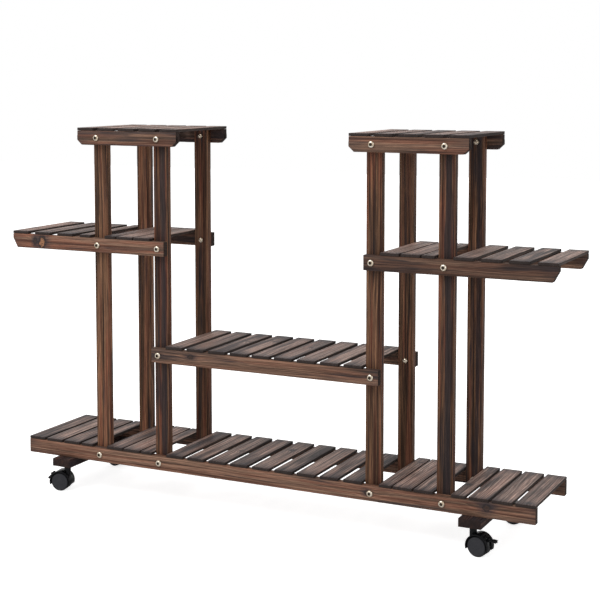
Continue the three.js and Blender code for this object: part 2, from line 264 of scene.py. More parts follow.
def place_knots(piece, places, knots):
    """Stores the way to each knot in knot radii, and how warm each heart is."""
    warmths = [0.0, 0.0, 0.0]
    for index, name in enumerate(KNOT_NAMES):
        offset = np.full(places.shape, FAR_AWAY)
        if index < len(knots):
            knot_along, knot_across, radius, stretch, warmths[index] = knots[index]
            offset = (places - (knot_along, knot_across, 0)) / (radius * stretch, radius, 1)
            offset[:, 2] = 0
        store(piece, name, "FLOAT_VECTOR", "POINT", offset)
    store(piece, "knot_warmth", "FLOAT_VECTOR", "POINT", np.tile(warmths, (len(places), 1)))


def lay_grain(piece, axes, tones, knots=(), stripe=None):
    """Puts the board somewhere in a log. axes are those along the grain, across it and into it.

    A knot is (place along, place across, radius, stretch, warmth), a stripe is (place across, half width)."""
    places = np.array([vertex.co for vertex in piece.data.vertices])[:, list(axes)]
    centred = places - places.mean(axis=0)
    pith = between(PITH_NEAR, PITH_FAR)
    slope = math.radians(between(*RING_SLOPES)) * chance.choice((-1, 1))
    start = np.array([between(0, LOG_LENGTH), pith * math.cos(slope), pith * math.sin(slope)])
    store(piece, "grain", "FLOAT_VECTOR", "POINT", centred + start)
    store(piece, "board", "FLOAT_VECTOR", "POINT", np.tile(tones, (len(places), 1)))
    reach = np.abs(centred[:, 0])
    store(piece, "from_end", "FLOAT", "POINT", reach.max() - reach)
    middle, half = stripe or (FAR_AWAY, 1.0)
    store(piece, "stripe", "FLOAT", "POINT", np.abs(places[:, 1] - middle) / half)
    place_knots(piece, places, knots)


# %% [markdown]
# ## Small words for shader nodes
# A node tree is easier to read when each step says what it does. These helpers make one node each and hand
# back its output, so that a material below reads like a recipe. Streaks are the main one: noise that is
# stretched along the grain, with its length and width given in metres.

# %% Make a material, join its nodes, do sums
def new_material(name):
    material = bpy.data.materials.new(name)
    material.use_nodes = True
    tree = material.node_tree
    return material, tree, tree.nodes["Principled BSDF"]


def feed(tree, target, value):
    """Joins an output to an input, or writes a plain number or colour into it."""
    if isinstance(value, bpy.types.NodeSocket):
        tree.links.new(value, target)
    else:
        target.default_value = value


def maths(tree, operation, *values, clamp=False):
    node = tree.nodes.new("ShaderNodeMath")
    node.operation = operation
    node.use_clamp = clamp
    for target, value in zip(node.inputs, values):
        feed(tree, target, value)
    return node.outputs[0]


def vectors(tree, operation, *values, output="Vector"):
    node = tree.nodes.new("ShaderNodeVectorMath")
    node.operation = operation
    for target, value in zip(node.inputs, values):
        feed(tree, target, value)
    return node.outputs[output]


def mixed(tree, amount, first, second, mode="MIX"):
    node = tree.nodes.new("ShaderNodeMix")
    node.data_type = "RGBA"
    node.blend_type = mode
    feed(tree, node.inputs["Factor"], amount)
    # the node keeps a pair of inputs for each kind of data, and these are the ones for colours
    first_colour, second_colour, colour_result = node.inputs[6], node.inputs[7], node.outputs[2]
    feed(tree, first_colour, first)
    feed(tree, second_colour, second)
    return colour_result


# %% Noise, streaks, ramps and relief
def noise(tree, vector, scale, detail=2.0, roughness=0.5):
    node = tree.nodes.new("ShaderNodeTexNoise")
    feed(tree, node.inputs["Vector"], vector)
    node.inputs["Scale"].default_value = scale
    node.inputs["Detail"].default_value = detail
    node.inputs["Roughness"].default_value = roughness
    return node.outputs["Fac"]


def streaks(tree, grain, length, width, detail=2.0, roughness=0.5):
    stretched = vectors(tree, "MULTIPLY", grain, (1 / length, 1 / width, 1 / width))
    return noise(tree, stretched, 1.0, detail, roughness)


def graded(tree, value, *stops):
    """Reads a value through a grey ramp of (position, level) stops."""
    node = tree.nodes.new("ShaderNodeValToRGB")
    feed(tree, node.inputs["Fac"], value)
    elements = node.color_ramp.elements
    while len(elements) < len(stops):
        elements.new(0.5)
    for element, (position, level) in zip(elements, stops):
        element.position = position
        element.color = (level, level, level, 1)
    return node.outputs["Color"]


def relief(tree, height, depth, strength=1.0):
    """Turns a height from 0 to 1 into a bump of that depth in metres."""
    node = tree.nodes.new("ShaderNodeBump")
    node.inputs["Distance"].default_value = depth
    node.inputs["Strength"].default_value = strength
    feed(tree, node.inputs["Height"], height)
    return node.outputs["Normal"]


# %% Read an attribute
def attribute(tree, name, output="Vector"):
    node = tree.nodes.new("ShaderNodeAttribute")
    node.attribute_name = name
    return node.outputs[output]


def split(tree, vector):
    node = tree.nodes.new("ShaderNodeSeparateXYZ")
    feed(tree, node.inputs[0], vector)
    return node.outputs


# %% [markdown]
# ## Scorched fir
# Scorching darkens the soft early wood most and brushing scrubs it back, so the hard late wood is left as
# thin ridges that catch an orange light, while whole streaks stay blue-black where the flame lingered. The
# recipe goes the same way: rings about the pith, strands and fibres, a red flush, the scorch, knots, the
# soot at a board's ends, the eased edges lightened as painted highlight and wear, and last the near-black
# faces: end grain that drank so much stain, and on the slats the sides, painted black as the shade in the
# gaps.

# %% Colours of the wood
RED_BROWN = (0.130, 0.040, 0.022, 1)
BLUE_BLACK = (0.023, 0.019, 0.022, 1)
# near black: end grain that took the stain, and painted shade on the slats' sides in the gaps between them
END_GRAIN_AND_GAP_SHADE_BLACK = (0.020, 0.013, 0.011, 1)
KNOT_HEART = (0.400, 0.185, 0.090, 1)
KNOT_DARK = (0.014, 0.011, 0.011, 1)
# lighter eased edges: painted highlight on the arrises, and rubbed wear
EDGE_HIGHLIGHT_AND_WEAR = (0.250, 0.125, 0.070, 1)

# %% [markdown]
# ### Rings and knots
# The rings are the distance from the pith, counted off in steps of one year. Slow noise makes them wander, as
# a tree's do, and they swell where they pass a knot. A perfect circle would give a knot away as drawn, so its
# distance is made ragged before anything reads it.

# %% Rings and knots
RING_SPACING = 0.0055             # metres from one year to the next
WANDER = 0.034                    # metres that slow noise moves the rings
RIPPLE = 0.0022
SWELL = 0.010                     # metres that a knot moves them
SWELL_REACH = 6.0                 # knot radii
RAGGED = 1.6                      # knot radii


def knot_distance(tree, name):
    """Distance to a knot in knot radii, with a ragged outline."""
    offset = attribute(tree, name)
    ragged = maths(tree, "MULTIPLY_ADD", noise(tree, offset, 1.7, 4.0), RAGGED, -RAGGED / 2)
    return maths(tree, "ADD", vectors(tree, "LENGTH", offset, output="Value"), ragged)


def annual_rings(tree, grain, knots):
    """Late wood from 0 to 1, on rings about the pith that wander along the log and swell round a knot."""
    _, across, into = split(tree, grain)
    wander = streaks(tree, grain, 0.30, 0.05, 1.0)
    ripple = streaks(tree, grain, 0.05, 0.012, 2.0)
    across = maths(tree, "MULTIPLY_ADD", wander, WANDER, across)
    across = maths(tree, "MULTIPLY_ADD", ripple, RIPPLE, across)
    squares = [maths(tree, "MULTIPLY", way, way) for way in (across, into)]
    reach = maths(tree, "SQRT", maths(tree, "ADD", *squares))
    for knot in knots:
        swell = graded(tree, maths(tree, "DIVIDE", knot, SWELL_REACH), (0.0, 1.0), (0.35, 0.45), (1.0, 0.0))
        reach = maths(tree, "MULTIPLY_ADD", swell, SWELL, reach)
    rings = maths(tree, "FRACT", maths(tree, "DIVIDE", reach, RING_SPACING))
    return graded(tree, rings, (0.0, 0.0), (0.40, 0.10), (0.75, 0.85), (0.90, 1.0), (1.0, 0.0))


# %% [markdown]
# ### Streaks
# Six widths of streak do the rest, from single fibres to bands that are as wide as a finger. They are made
# once for a material and shared, because a streak that darkens the colour should also roughen the gloss and
# stand out in the relief.

# %% Streaks that the steps share
def grain_streaks(tree, grain):
    """Streaks by name, given by length and width in metres. Some are read from another part of the log."""
    def elsewhere(*way):
        return vectors(tree, "ADD", grain, way)

    return {
        "fibre": streaks(tree, grain, 0.030, 0.0007, 3.0, 0.65),
        "strand": streaks(tree, grain, 0.090, 0.0026, 3.0, 0.55),
        "line": streaks(tree, elsewhere(3, 1, 2), 0.220, 0.0014, 2.0, 0.55),
        "patch": streaks(tree, grain, 0.160, 0.0130, 3.0),
        "flush": streaks(tree, elsewhere(7, 3, 5), 0.260, 0.0090, 2.0),
        "band": streaks(tree, elsewhere(5, 2, 9), 0.380, 0.0070, 1.0),
    }


# %% Stained wood, before the flame
LINE_GLOW = 1.35                  # how much brighter the finest lines are than the late wood


def stained(tree, streak, ridge, early, late, warmth, bands):
    """Early and late wood with a red flush, broad bands and fine bright lines."""
    colour = mixed(tree, ridge, early, late)
    red = maths(tree, "MULTIPLY", graded(tree, streak["flush"], (0.44, 0.0), (0.56, 1.0)), warmth)
    colour = mixed(tree, red, colour, RED_BROWN)
    banding = graded(tree, streak["band"], (0.36, 0.28), (0.50, 0.95), (0.64, 1.6))
    colour = mixed(tree, bands, colour, banding, "MULTIPLY")
    bright = tuple(min(1.0, part * LINE_GLOW) for part in late[:3]) + (1,)
    lines = graded(tree, streak["line"], (0.53, 0.0), (0.63, 1.0))
    return mixed(tree, maths(tree, "MULTIPLY", lines, 0.5), colour, bright)


# %% The scorch, and the lines that brushing leaves
def scorch_amount(tree, streak, scorch):
    """Broad patches with streaky edges, more of them on a board that lay long in the flame, and a stripe."""
    burn = maths(tree, "MULTIPLY_ADD", streak["strand"], 0.45, streak["patch"])
    burn = maths(tree, "MULTIPLY_ADD", scorch, 0.42, burn)
    burn = maths(tree, "MULTIPLY_ADD", burn, 6.0, -5.45, clamp=True)
    ragged = maths(tree, "MULTIPLY_ADD", streak["strand"], 1.6, -0.8)
    stripe = maths(tree, "ADD", attribute(tree, "stripe", "Fac"), ragged)
    return maths(tree, "MAXIMUM", burn, graded(tree, stripe, (0.60, 1.0), (1.0, 0.0)))


def brushed(tree, colour, streak, contrast):
    """Darkens the colour along fibres, lines and strands, where the brush took the soft wood out."""
    for lines, amount in ((graded(tree, streak["fibre"], (0.34, 0.35), (0.52, 1.0), (0.68, 1.45)), contrast),
                          (graded(tree, streak["line"], (0.38, 0.18), (0.47, 1.0)), 0.85 * contrast),
                          (graded(tree, streak["strand"], (0.34, 0.35), (0.46, 1.0)), 0.75 * contrast)):
        colour = mixed(tree, amount, colour, lines, "MULTIPLY")
    return colour


# %% Knots
def with_knots(tree, colour, strand, knots, warmths):
    """A frayed dark halo, a heart with rings of its own, and a black rim."""
    for knot, warmth in zip(knots, warmths):
        frayed = maths(tree, "MULTIPLY_ADD", strand, 2.4, maths(tree, "ADD", knot, -1.2))
        halo = graded(tree, maths(tree, "DIVIDE", frayed, 4.0), (0.20, 0.80), (0.75, 0.0))
        colour = mixed(tree, halo, colour, BLUE_BLACK)
        heart_rings = maths(tree, "FRACT", maths(tree, "MULTIPLY_ADD", knot, 3.0, strand))
        core = mixed(tree, graded(tree, heart_rings, (0.2, 1.0), (0.9, 0.15)), KNOT_DARK, KNOT_HEART)
        heart = graded(tree, knot, (0.45, 0.85), (0.95, 0.0))
        colour = mixed(tree, heart, colour, mixed(tree, warmth, KNOT_DARK, core))
        rim = graded(tree, maths(tree, "DIVIDE", knot, 2.0), (0.30, 0.0), (0.46, 0.95), (0.60, 0.0))
        colour = mixed(tree, rim, colour, KNOT_DARK)
    return colour


# %% Sooty ends, and painted highlight with wear on the edges
SOOT_REACH = 0.035                # metres from a board's end


def sooty_ends(tree, colour, strand, soot):
    near_end = maths(tree, "DIVIDE", attribute(tree, "from_end", "Fac"), SOOT_REACH)
    near_end = maths(tree, "MULTIPLY_ADD", strand, 1.2, maths(tree, "ADD", near_end, -0.6))
    return mixed(tree, graded(tree, near_end, (0.0, soot), (1.0, 0.0)), colour, BLUE_BLACK)


def lit_and_worn_edges(tree, colour, strand, edge_light_and_wear):
    # painted highlight and rubbed wear: the eased edges are lightened in streaks
    edge_lightening = maths(tree, "MULTIPLY", attribute(tree, "eased_edge", "Fac"),
                   graded(tree, strand, (0.42, 0.1 * edge_light_and_wear), (0.60, edge_light_and_wear)))
    return mixed(tree, edge_lightening, colour, EDGE_HIGHLIGHT_AND_WEAR)


# %% [markdown]
# ### The whole recipe
# Now the steps are put in order. The gloss comes last and follows the same streaks: hard late wood takes a
# dull shine, and char, soot and the near-black faces, end grain and the slats' painted gap shade, take none.

# %% Scorched fir
def scorched_fir(name, early, late, rough, shine, bands, edge_light_and_wear=0.0, soot=0.0, contrast=1.0, face_blackening=0.92):
    """One wood finish. The edge amount lightens the eased edges as painted highlight and rubbed wear, soot
    darkens the ends, and the blackening amount blackens the marked faces: end grain, and the slats' sides as
    painted gap shade.
    """
    material, tree, shader = new_material(name)
    grain = attribute(tree, "grain")
    tone, warmth, scorch = split(tree, attribute(tree, "board"))
    knots = [knot_distance(tree, knot) for knot in KNOT_NAMES]
    streak = grain_streaks(tree, grain)
    fibre, strand = streak["fibre"], streak["strand"]
    ridge = maths(tree, "MULTIPLY", annual_rings(tree, grain, knots),
                  graded(tree, strand, (0.38, 0.30), (0.58, 1.0)))

    colour = stained(tree, streak, ridge, early, late, warmth, bands)
    burn = scorch_amount(tree, streak, scorch)
    colour = mixed(tree, maths(tree, "MULTIPLY", burn, 0.84), colour, BLUE_BLACK)
    colour = brushed(tree, colour, streak, contrast)
    colour = with_knots(tree, colour, strand, knots, split(tree, attribute(tree, "knot_warmth")))
    colour = mixed(tree, 1.0, colour, maths(tree, "ADD", tone, 0.5), "MULTIPLY")
    if soot:
        colour = sooty_ends(tree, colour, strand, soot)
    # the eased edges get a painted highlight, with rubbed wear
    if edge_light_and_wear:
        colour = lit_and_worn_edges(tree, colour, strand, edge_light_and_wear)
    # the marked faces go near black: end grain for its stain, and the slats' sides as painted shade in the
    # gaps
    black = maths(tree, "MULTIPLY", attribute(tree, "end_grain_and_gap_shade", "Fac"), face_blackening)
    feed(tree, shader.inputs["Base Color"], mixed(tree, black, colour, END_GRAIN_AND_GAP_SHADE_BLACK))

    gloss = maths(tree, "MULTIPLY_ADD", ridge, -0.14, rough)
    for source, amount in ((burn, 0.08), (black, 0.30), (fibre, 0.20)):
        gloss = maths(tree, "MULTIPLY_ADD", source, amount, gloss)
    feed(tree, shader.inputs["Roughness"], gloss)
    height = maths(tree, "MULTIPLY_ADD", fibre, 0.6, maths(tree, "MULTIPLY", ridge, 0.7))
    height = maths(tree, "MULTIPLY_ADD", streak["line"], 0.6, height)
    feed(tree, shader.inputs["Normal"], relief(tree, height, 0.0006, 0.8))
    shader.inputs["Specular IOR Level"].default_value = shine
    return material


# %% The four wood finishes
rail_finish = scorched_fir("scorched_fir_rails", (0.112, 0.064, 0.044, 1), (0.215, 0.120, 0.078, 1),
                           rough=0.56, shine=0.18, bands=0.60, edge_light_and_wear=0.25, soot=0.35, contrast=0.62)
post_finish = scorched_fir("scorched_fir_posts", (0.080, 0.040, 0.025, 1), (0.205, 0.102, 0.052, 1),
                           rough=0.56, shine=0.15, bands=1.0, edge_light_and_wear=0.75, contrast=0.65)
slat_finish = scorched_fir("scorched_fir_slats", (0.178, 0.112, 0.090, 1), (0.410, 0.278, 0.225, 1),
                           rough=0.50, shine=0.30, bands=0.60, soot=0.80, contrast=0.9)
beam_finish = scorched_fir("scorched_fir_beams", (0.060, 0.034, 0.028, 1), (0.110, 0.062, 0.048, 1),
                           rough=0.62, shine=0.10, bands=0.6, soot=0.30, face_blackening=0.60)
for finish in (rail_finish, post_finish, slat_finish, beam_finish):
    print(finish.name, "has", len(finish.node_tree.nodes), "nodes")


# %% Put a finish on a piece
def dress(piece, finish, body="stand"):
    piece.data.materials.clear()
    piece.data.materials.append(finish)
    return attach(piece, body)


# %% [markdown]
# ## Posts
# Eight posts stand behind the rails, four in front and four at the back, each a straight board on edge. The
# photograph shows how different they came out of the flame: the inner post of the left tower is red-brown
# with a strong blue-black stripe, while its neighbours are plain. Each post gets its tones one by one, and a
# stripe where it has one.

# %% Tones of the posts
# tone, warmth and scorch, and the stripe's middle from the post's own middle and its half width, in metres
POST_TONES = {
    "post_front_outer_left": ((0.68, 0.75, 0.25), (0.0125, 0.0030)),
    "post_front_inner_left": ((0.40, 0.95, 0.35), (0.0060, 0.0085)),
    "post_rear_outer_left": ((0.62, 0.50, 0.40), None),
    "post_rear_inner_left": ((0.30, 0.85, 0.35), (-0.0120, 0.0040)),
    "post_front_inner_right": ((0.38, 0.80, 0.22), (0.0120, 0.0030)),
    "post_rear_inner_right": ((0.30, 0.60, 0.18), None),
    "post_front_outer_right": ((0.30, 0.80, 0.50), (0.0045, 0.0090)),
    "post_rear_outer_right": ((0.44, 0.60, 0.52), (0.0080, 0.0070)),
}


# %% Build the posts
def board(name, low, high, end_grain_and_gap_shade):
    """A plain board between two corners, with its black faces marked."""
    piece = block(name, low, high)
    cut_up(piece)
    ease_edges(piece)
    mark_faces(piece, end_grain_and_gap_shade)
    return piece


def finish_board(piece, finish, axes, tones, knots=(), stripe=None):
    """Wears the board, lays its grain and gives it to the stand."""
    make_uneven(piece)
    smooth(piece)
    lay_grain(piece, axes, tones, knots, stripe)
    return dress(piece, finish)


for name, (tones, stripe) in POST_TONES.items():
    low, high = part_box(name)
    post = board(name.replace("post_", "upright_"), low, high, [Z])
    if stripe:
        stripe = ((low.x + high.x) / 2 + stripe[0], stripe[1])
    finish_board(post, post_finish, (Z, X, Y), tones, stripe=stripe)
    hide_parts(name)
print("posts:", len(POST_TONES), "with", len(post.data.polygons), "faces each")

# %% [markdown]
# ## Rails and slats
# A shelf is two rails on edge with slats nailed across them. Whoever nails a shelf starts at one end of a
# bay and works across it at a steady gap, and rips the last slat to what is left beside the post. The open
# bays in the middle and the shelves on top are spread evenly instead. Each width is shaped once, as a blank,
# and every slat is a copy that is shifted and turned by a hair, because no one nails so many slats down dead
# square.

# %% Sizes of a shelf
SLAT_THICKNESS = 0.006
SLAT_WIDTH = 0.039
LEAST_SLAT_WIDTH = 0.020
OPEN_GAP = 0.010                  # in an open bay
TOWER_GAP = 0.003                 # inside a tower
SLAT_TO_POST = 0.002

post_spans = {}
for place in ("outer_left", "inner_left", "inner_right", "outer_right"):
    low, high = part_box(f"post_front_{place}")
    post_spans[place] = (low.x, high.x)
front_post_low, front_post_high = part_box("post_front_outer_left")
shelf_low, shelf_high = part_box("bottom_shelf")
RAIL_THICKNESS = front_post_low.y - shelf_low.y
print("rail thickness", round(RAIL_THICKNESS, 4), "post spans", post_spans)


# %% Lay out the slats
HAIR = 1e-6                       # keeps rounding from dropping the last slat


def slat_run(first, last, gap):
    """(left edge, width) of slats laid side by side from one edge of a bay to the other."""
    way = math.copysign(1, last - first)
    slats, near = [], first
    while way * (last - near) >= LEAST_SLAT_WIDTH:
        width = min(SLAT_WIDTH, way * (last - near))
        slats.append((near if way > 0 else near - width, width))
        near += way * (SLAT_WIDTH + gap)
    return slats


def even_run(start, end):
    """Whole slats spread evenly over a bay, edge to edge."""
    count = round((end - start) / (SLAT_WIDTH + OPEN_GAP))
    return slat_run(start, end, (end - start - count * SLAT_WIDTH) / (count - 1) - HAIR)


def slats_of(low, high, posts, end_gap=0.0, towers_from_outside=False, over_posts=False):
    """(left edge, width) of every slat of a shelf, bay by bay between its posts."""
    if over_posts:
        return even_run(low.x, high.x)
    spans = [post_spans[place] for place in posts]
    slats = []
    for bay in range(len(spans) + 1):
        at_start, at_end = bay == 0, bay == len(spans)
        start = low.x if at_start else spans[bay - 1][1] + SLAT_TO_POST
        end = high.x if at_end else spans[bay][0] - SLAT_TO_POST
        if end - start < LEAST_SLAT_WIDTH:
            continue
        on_the_left = end < 0
        if at_start:
            slats += slat_run(start, end, end_gap)
        elif at_end:
            slats += slat_run(end, start, end_gap)
        elif start < 0 < end:
            slats += even_run(start, end)
        elif on_the_left == towers_from_outside:
            slats += slat_run(start, end, TOWER_GAP)
        else:
            slats += slat_run(end, start, TOWER_GAP)
    return slats


# %% [markdown]
# ## What makes each shelf different
# The shelves share one way of building, and this plan holds what sets them apart: the posts that they meet,
# the gap at their free ends, and the clipped lower corners of their rails. The front rails face the viewer,
# so their tones and knots are chosen one by one. The middle shelf at the left has the knot that is seen
# first, with an orange heart and a black patch beside it.

# %% Plan of the shelves
# clip of the rails' lower corners, (length, height), at the left and right ends of each shelf
MIDDLE_CLIP = (0.012, 0.019)
TOP_CLIP = (0.012, 0.014)
SHELVES = {
    "bottom_shelf": dict(posts=("outer_left", "inner_left", "inner_right", "outer_right"),
                         end_gap=0.006, towers_from_outside=True),
    "centre_shelf": dict(posts=("inner_left", "inner_right")),
    "middle_shelf_left": dict(posts=("outer_left", "inner_left"), end_gap=0.0185),
    "middle_shelf_right": dict(posts=("inner_right", "outer_right"), end_gap=0.0143),
    "top_shelf_left": dict(posts=("outer_left", "inner_left"), over_posts=True),
    "top_shelf_right": dict(posts=("inner_right", "outer_right"), over_posts=True),
}
CLIPS = {
    "middle_shelf_left": (MIDDLE_CLIP, None),
    "middle_shelf_right": (None, MIDDLE_CLIP),
    "top_shelf_left": (TOP_CLIP, TOP_CLIP),
    "top_shelf_right": (TOP_CLIP, TOP_CLIP),
}

# %% Tones and knots of the front rails
# tone, warmth and scorch of the front rails, and the knots that the photograph shows in them, given as
# (distance from the left end, height above the underside, radius, stretch along the grain, warmth)
FRONT_RAILS = {
    "bottom_shelf": ((0.74, 0.45, 0.25),
                     [(0.795, 0.016, 0.0040, 1.4, 0.15), (1.035, 0.020, 0.0060, 1.3, 0.10)]),
    "centre_shelf": ((0.54, 0.35, 0.45), [(0.094, 0.019, 0.0034, 2.2, 0.1)]),
    "middle_shelf_left": ((0.66, 0.70, 0.20),
                          [(0.0760, 0.014, 0.0130, 0.70, 1.0), (0.0580, 0.016, 0.0070, 0.60, 0.1)]),
    "middle_shelf_right": ((0.18, 0.35, 0.55), []),
    "top_shelf_left": ((0.62, 0.55, 0.42), []),
    "top_shelf_right": ((0.58, 0.60, 0.38), []),
}


# %% Shape a rail
def rail(name, low, high, clips):
    """A rail on edge. A corner is clipped by a slanting cut, and the cut is closed."""
    piece = block(name, low, high)
    cut_up(piece)
    for end, clip in zip((low.x, high.x), clips):
        if clip is None:
            continue
        length, height = clip
        outward = -1 if end == low.x else 1
        with Editing(piece) as edit:
            edit.cut((end, 0, low.z + height), (outward * height, 0, -length),
                     use_fill=True, clear_outer=True)
    ease_edges(piece)
    mark_faces(piece, [X])
    return piece


def rear_tones():
    return between(0.40, 0.60), between(0.3, 0.7), between(0.3, 0.7)


def build_rails(shelf, low, high):
    """Both rails of a shelf, between the corners of its box. Returns the front one."""
    rails = []
    for row, near in (("front", low.y), ("rear", high.y - RAIL_THICKNESS)):
        rail_low = Vector((low.x, near, low.z))
        rail_high = Vector((high.x, near + RAIL_THICKNESS, high.z - SLAT_THICKNESS))
        piece = rail(f"{shelf}_rail_{row}", rail_low, rail_high, CLIPS.get(shelf, (None, None)))
        tones, knots = FRONT_RAILS[shelf] if row == "front" else (rear_tones(), [])
        knots = [(low.x + along, low.z + up, *rest) for along, up, *rest in knots]
        finish_board(piece, rail_finish, (X, Z, Y), tones, knots)
        rails.append(piece)
    return rails[0]


# %% [markdown]
# ## Every slat from a few blanks
# A slat could be cut up and bevelled each time, but only a handful of widths occur, so each is shaped once
# and copied. What makes every slat its own piece is laid on the copy: its shift and turn, its place in a log,
# its tones, and now and then a knot.

# %% Shape a slat
SLAT_SHIFT = 0.0004
SLAT_TURN = 0.10                  # degrees
KNOTTY_SHARE = 0.35               # of all slats
KNOT_SIZES = (0.0025, 0.0045)
slat_blanks = {}


def slat_blank(width):
    """The shaped slat of that width, made when it is first asked for."""
    key = round(width * 10000)
    if key not in slat_blanks:
        half = (shelf_high.y - shelf_low.y) / 2
        # its ends, along Y, are end grain, and its sides, along X, are marked black as painted shade in the
        # gaps between slats
        slat_blanks[key] = board(f"slat_blank_{key}", Vector((0, -half, 0)),
                                 Vector((width, half, SLAT_THICKNESS)), [X, Y])
    return slat_blanks[key]


def nail_down(slat, left, width, height, low, high):
    """Moves a copied blank to its place. Only a slat that isn't at the very end is shifted and turned."""
    inside = low.x + SLAT_SHIFT < left < high.x - width - SLAT_SHIFT
    turn = Matrix.Rotation(math.radians(between(-SLAT_TURN, SLAT_TURN)) * inside, 4, "Z")
    shift = left + between(-SLAT_SHIFT, SLAT_SHIFT) * inside
    middle = Matrix.Translation((width / 2, 0, 0))
    slat.data.transform(Matrix.Translation((shift, 0, height)) @ middle @ turn @ middle.inverted())


def slat_knots(left, width, low, high):
    if chance.random() >= KNOTTY_SHARE:
        return []
    return [(between(low.y, high.y), left + between(0.2, 0.8) * width, between(*KNOT_SIZES), 1.0,
             between(0, 0.35))]


# %% Build the shelves
slat_count = 0
for shelf, plan in SHELVES.items():
    low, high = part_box(shelf)
    front = build_rails(shelf, low, high)
    for index, (left, width) in enumerate(slats_of(low, high, **plan)):
        slat = copy_of(slat_blank(width), f"{shelf}_slat_{index + 1:02d}")
        nail_down(slat, left, width, high.z - SLAT_THICKNESS, low, high)
        knots = slat_knots(left, width, low, high)
        tones = (between(0.38, 0.80), between(0.1, 0.5), between(0.10, 0.75))
        finish_board(slat, slat_finish, (Y, X, Z), tones, knots)
        slat_count += 1
    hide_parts(shelf)
print("shelves:", len(SHELVES), "slats:", slat_count, "from", len(slat_blanks), "blanks")
discard(*slat_blanks.values())

# %% [markdown]
# ## Cross beams
# The two beams lie flat under the bottom shelf and stand out in front of it and behind, where the casters
# are plugged into them. They are the darkest wood on the stand, nearly black where the end grain took the
# stain.

# %% Build the cross beams
BEAM_TONES = (0.5, 0.35, 0.6)
for side in ("left", "right"):
    low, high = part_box(f"cross_beam_{side}")
    beam = board(f"beam_under_{side}", low, high, [Y])
    finish_board(beam, beam_finish, (Y, X, Z), BEAM_TONES)
    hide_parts(f"cross_beam_{side}")
    print("beam under the", side, "end at", round((low.x + high.x) / 2, 4))

# %% [markdown]
# ## Bolts and cap nuts
# A bright bolt goes through every crossing of a rail and a post. Its head is a low dome with a hexagon
# socket, and the cap nut on the far side is a hexagon under a ball. The head starts as a short cylinder
# whose front face is extruded and drawn in, ring by ring, along a quarter circle. The socket is the last
# ring pushed out to a hexagon and sunk, and it is painted dark, as painted shade in the recess.

# %% Steel
BRIGHT_ZINC = (0.66, 0.60, 0.51, 1)
YELLOWED_ZINC = (0.42, 0.33, 0.23, 1)
# painted shade in the socket's recess
SOCKET_SHADE = (0.050, 0.038, 0.030, 1)


def zinc_plated():
    """Bright steel with a warm mottle. Its gloss follows the mottle, and the socket is painted dark as the
    shade in its recess.
    """
    material, tree, shader = new_material("zinc_plated_steel")
    place = tree.nodes.new("ShaderNodeTexCoord").outputs["Object"]
    mottle = noise(tree, place, 260.0, 3.0)
    scratches = noise(tree, place, 2600.0, 2.0)
    plating = mixed(tree, graded(tree, mottle, (0.42, 0.0), (0.62, 1.0)), BRIGHT_ZINC, YELLOWED_ZINC)
    feed(tree, shader.inputs["Base Color"],
         mixed(tree, attribute(tree, "socket", "Fac"), plating, SOCKET_SHADE))
    feed(tree, shader.inputs["Roughness"], graded(tree, mottle, (0.3, 0.22), (0.7, 0.40)))
    feed(tree, shader.inputs["Normal"], relief(tree, scratches, 0.00003, 0.5))
    shader.inputs["Metallic"].default_value = 1.0
    return material


metal = zinc_plated()
print(metal.name, "has", len(metal.node_tree.nodes), "nodes")

# %% Sizes of a bolt and its nut
HEAD_RADIUS = 0.0065
HEAD_HEIGHT = 0.0034
HEAD_RIM = 0.0008
CROWN_RADIUS = 0.0040
SOCKET_HALF = 0.0029              # centre to flat of the hexagon socket
SOCKET_DEPTH = 0.0022
SHANK_RADIUS = 0.0030
NUT_ACROSS = 0.0092
NUT_FLAT = 0.0024
NUT_EASE = 0.0003
CAP_RADIUS = 0.0042
CAP_HEIGHT = 0.0020
CAP_CROWN = 0.0004
BOLT_SIDES = 36
BOLT_SMOOTH = 30                  # degrees
DOME_RINGS = 5
TOUCH = 1e-5                      # metres, within which a face counts as lying in a plane
LOOKS_ALONG = 0.9                 # share of a normal that has to point the wanted way


# %% Draw a face out into a dome
def grow(edit_move, scale, centre):
    """Extrudes the selected faces along a vector and scales the new ones about a centre."""
    bpy.ops.mesh.extrude_region_move(TRANSFORM_OT_translate={"value": edit_move})
    bpy.ops.transform.resize(value=scale, center_override=centre)


def pick_front(edit, face_y):
    """Selects the faces in the plane at face_y that look along -Y."""
    edit.pick(lambda centre, normal: normal.y < -LOOKS_ALONG and abs(centre.y - face_y) < TOUCH)


def domed(piece, face_y, radius, height, crown):
    """Turns the face at face_y, which looks along -Y, into a dome that ends in a small flat crown."""
    full_angle = math.acos(crown / radius)
    with Editing(piece) as edit:
        pick_front(edit, face_y)
        last_radius, last_y = radius, face_y
        for ring in range(1, DOME_RINGS + 1):
            angle = ring / DOME_RINGS * full_angle
            ring_radius = radius * math.cos(angle)
            ring_y = face_y - height * math.sin(angle) / math.sin(full_angle)
            factor = ring_radius / last_radius
            grow((0, ring_y - last_y, 0), (factor, 1, factor), (0, ring_y, 0))
            last_radius, last_y = ring_radius, ring_y
    return last_y


# %% Sink the hexagon socket
SOCKET_TAPER = 0.96
DRILL_POINT = 0.1                 # share of the socket's width that the floor narrows to


def hexagon_reach(angle, half):
    """Centre to edge of a hexagon of that half width across its flats, in one direction."""
    part = math.radians(60)
    return half / math.cos((angle % part) - part / 2)


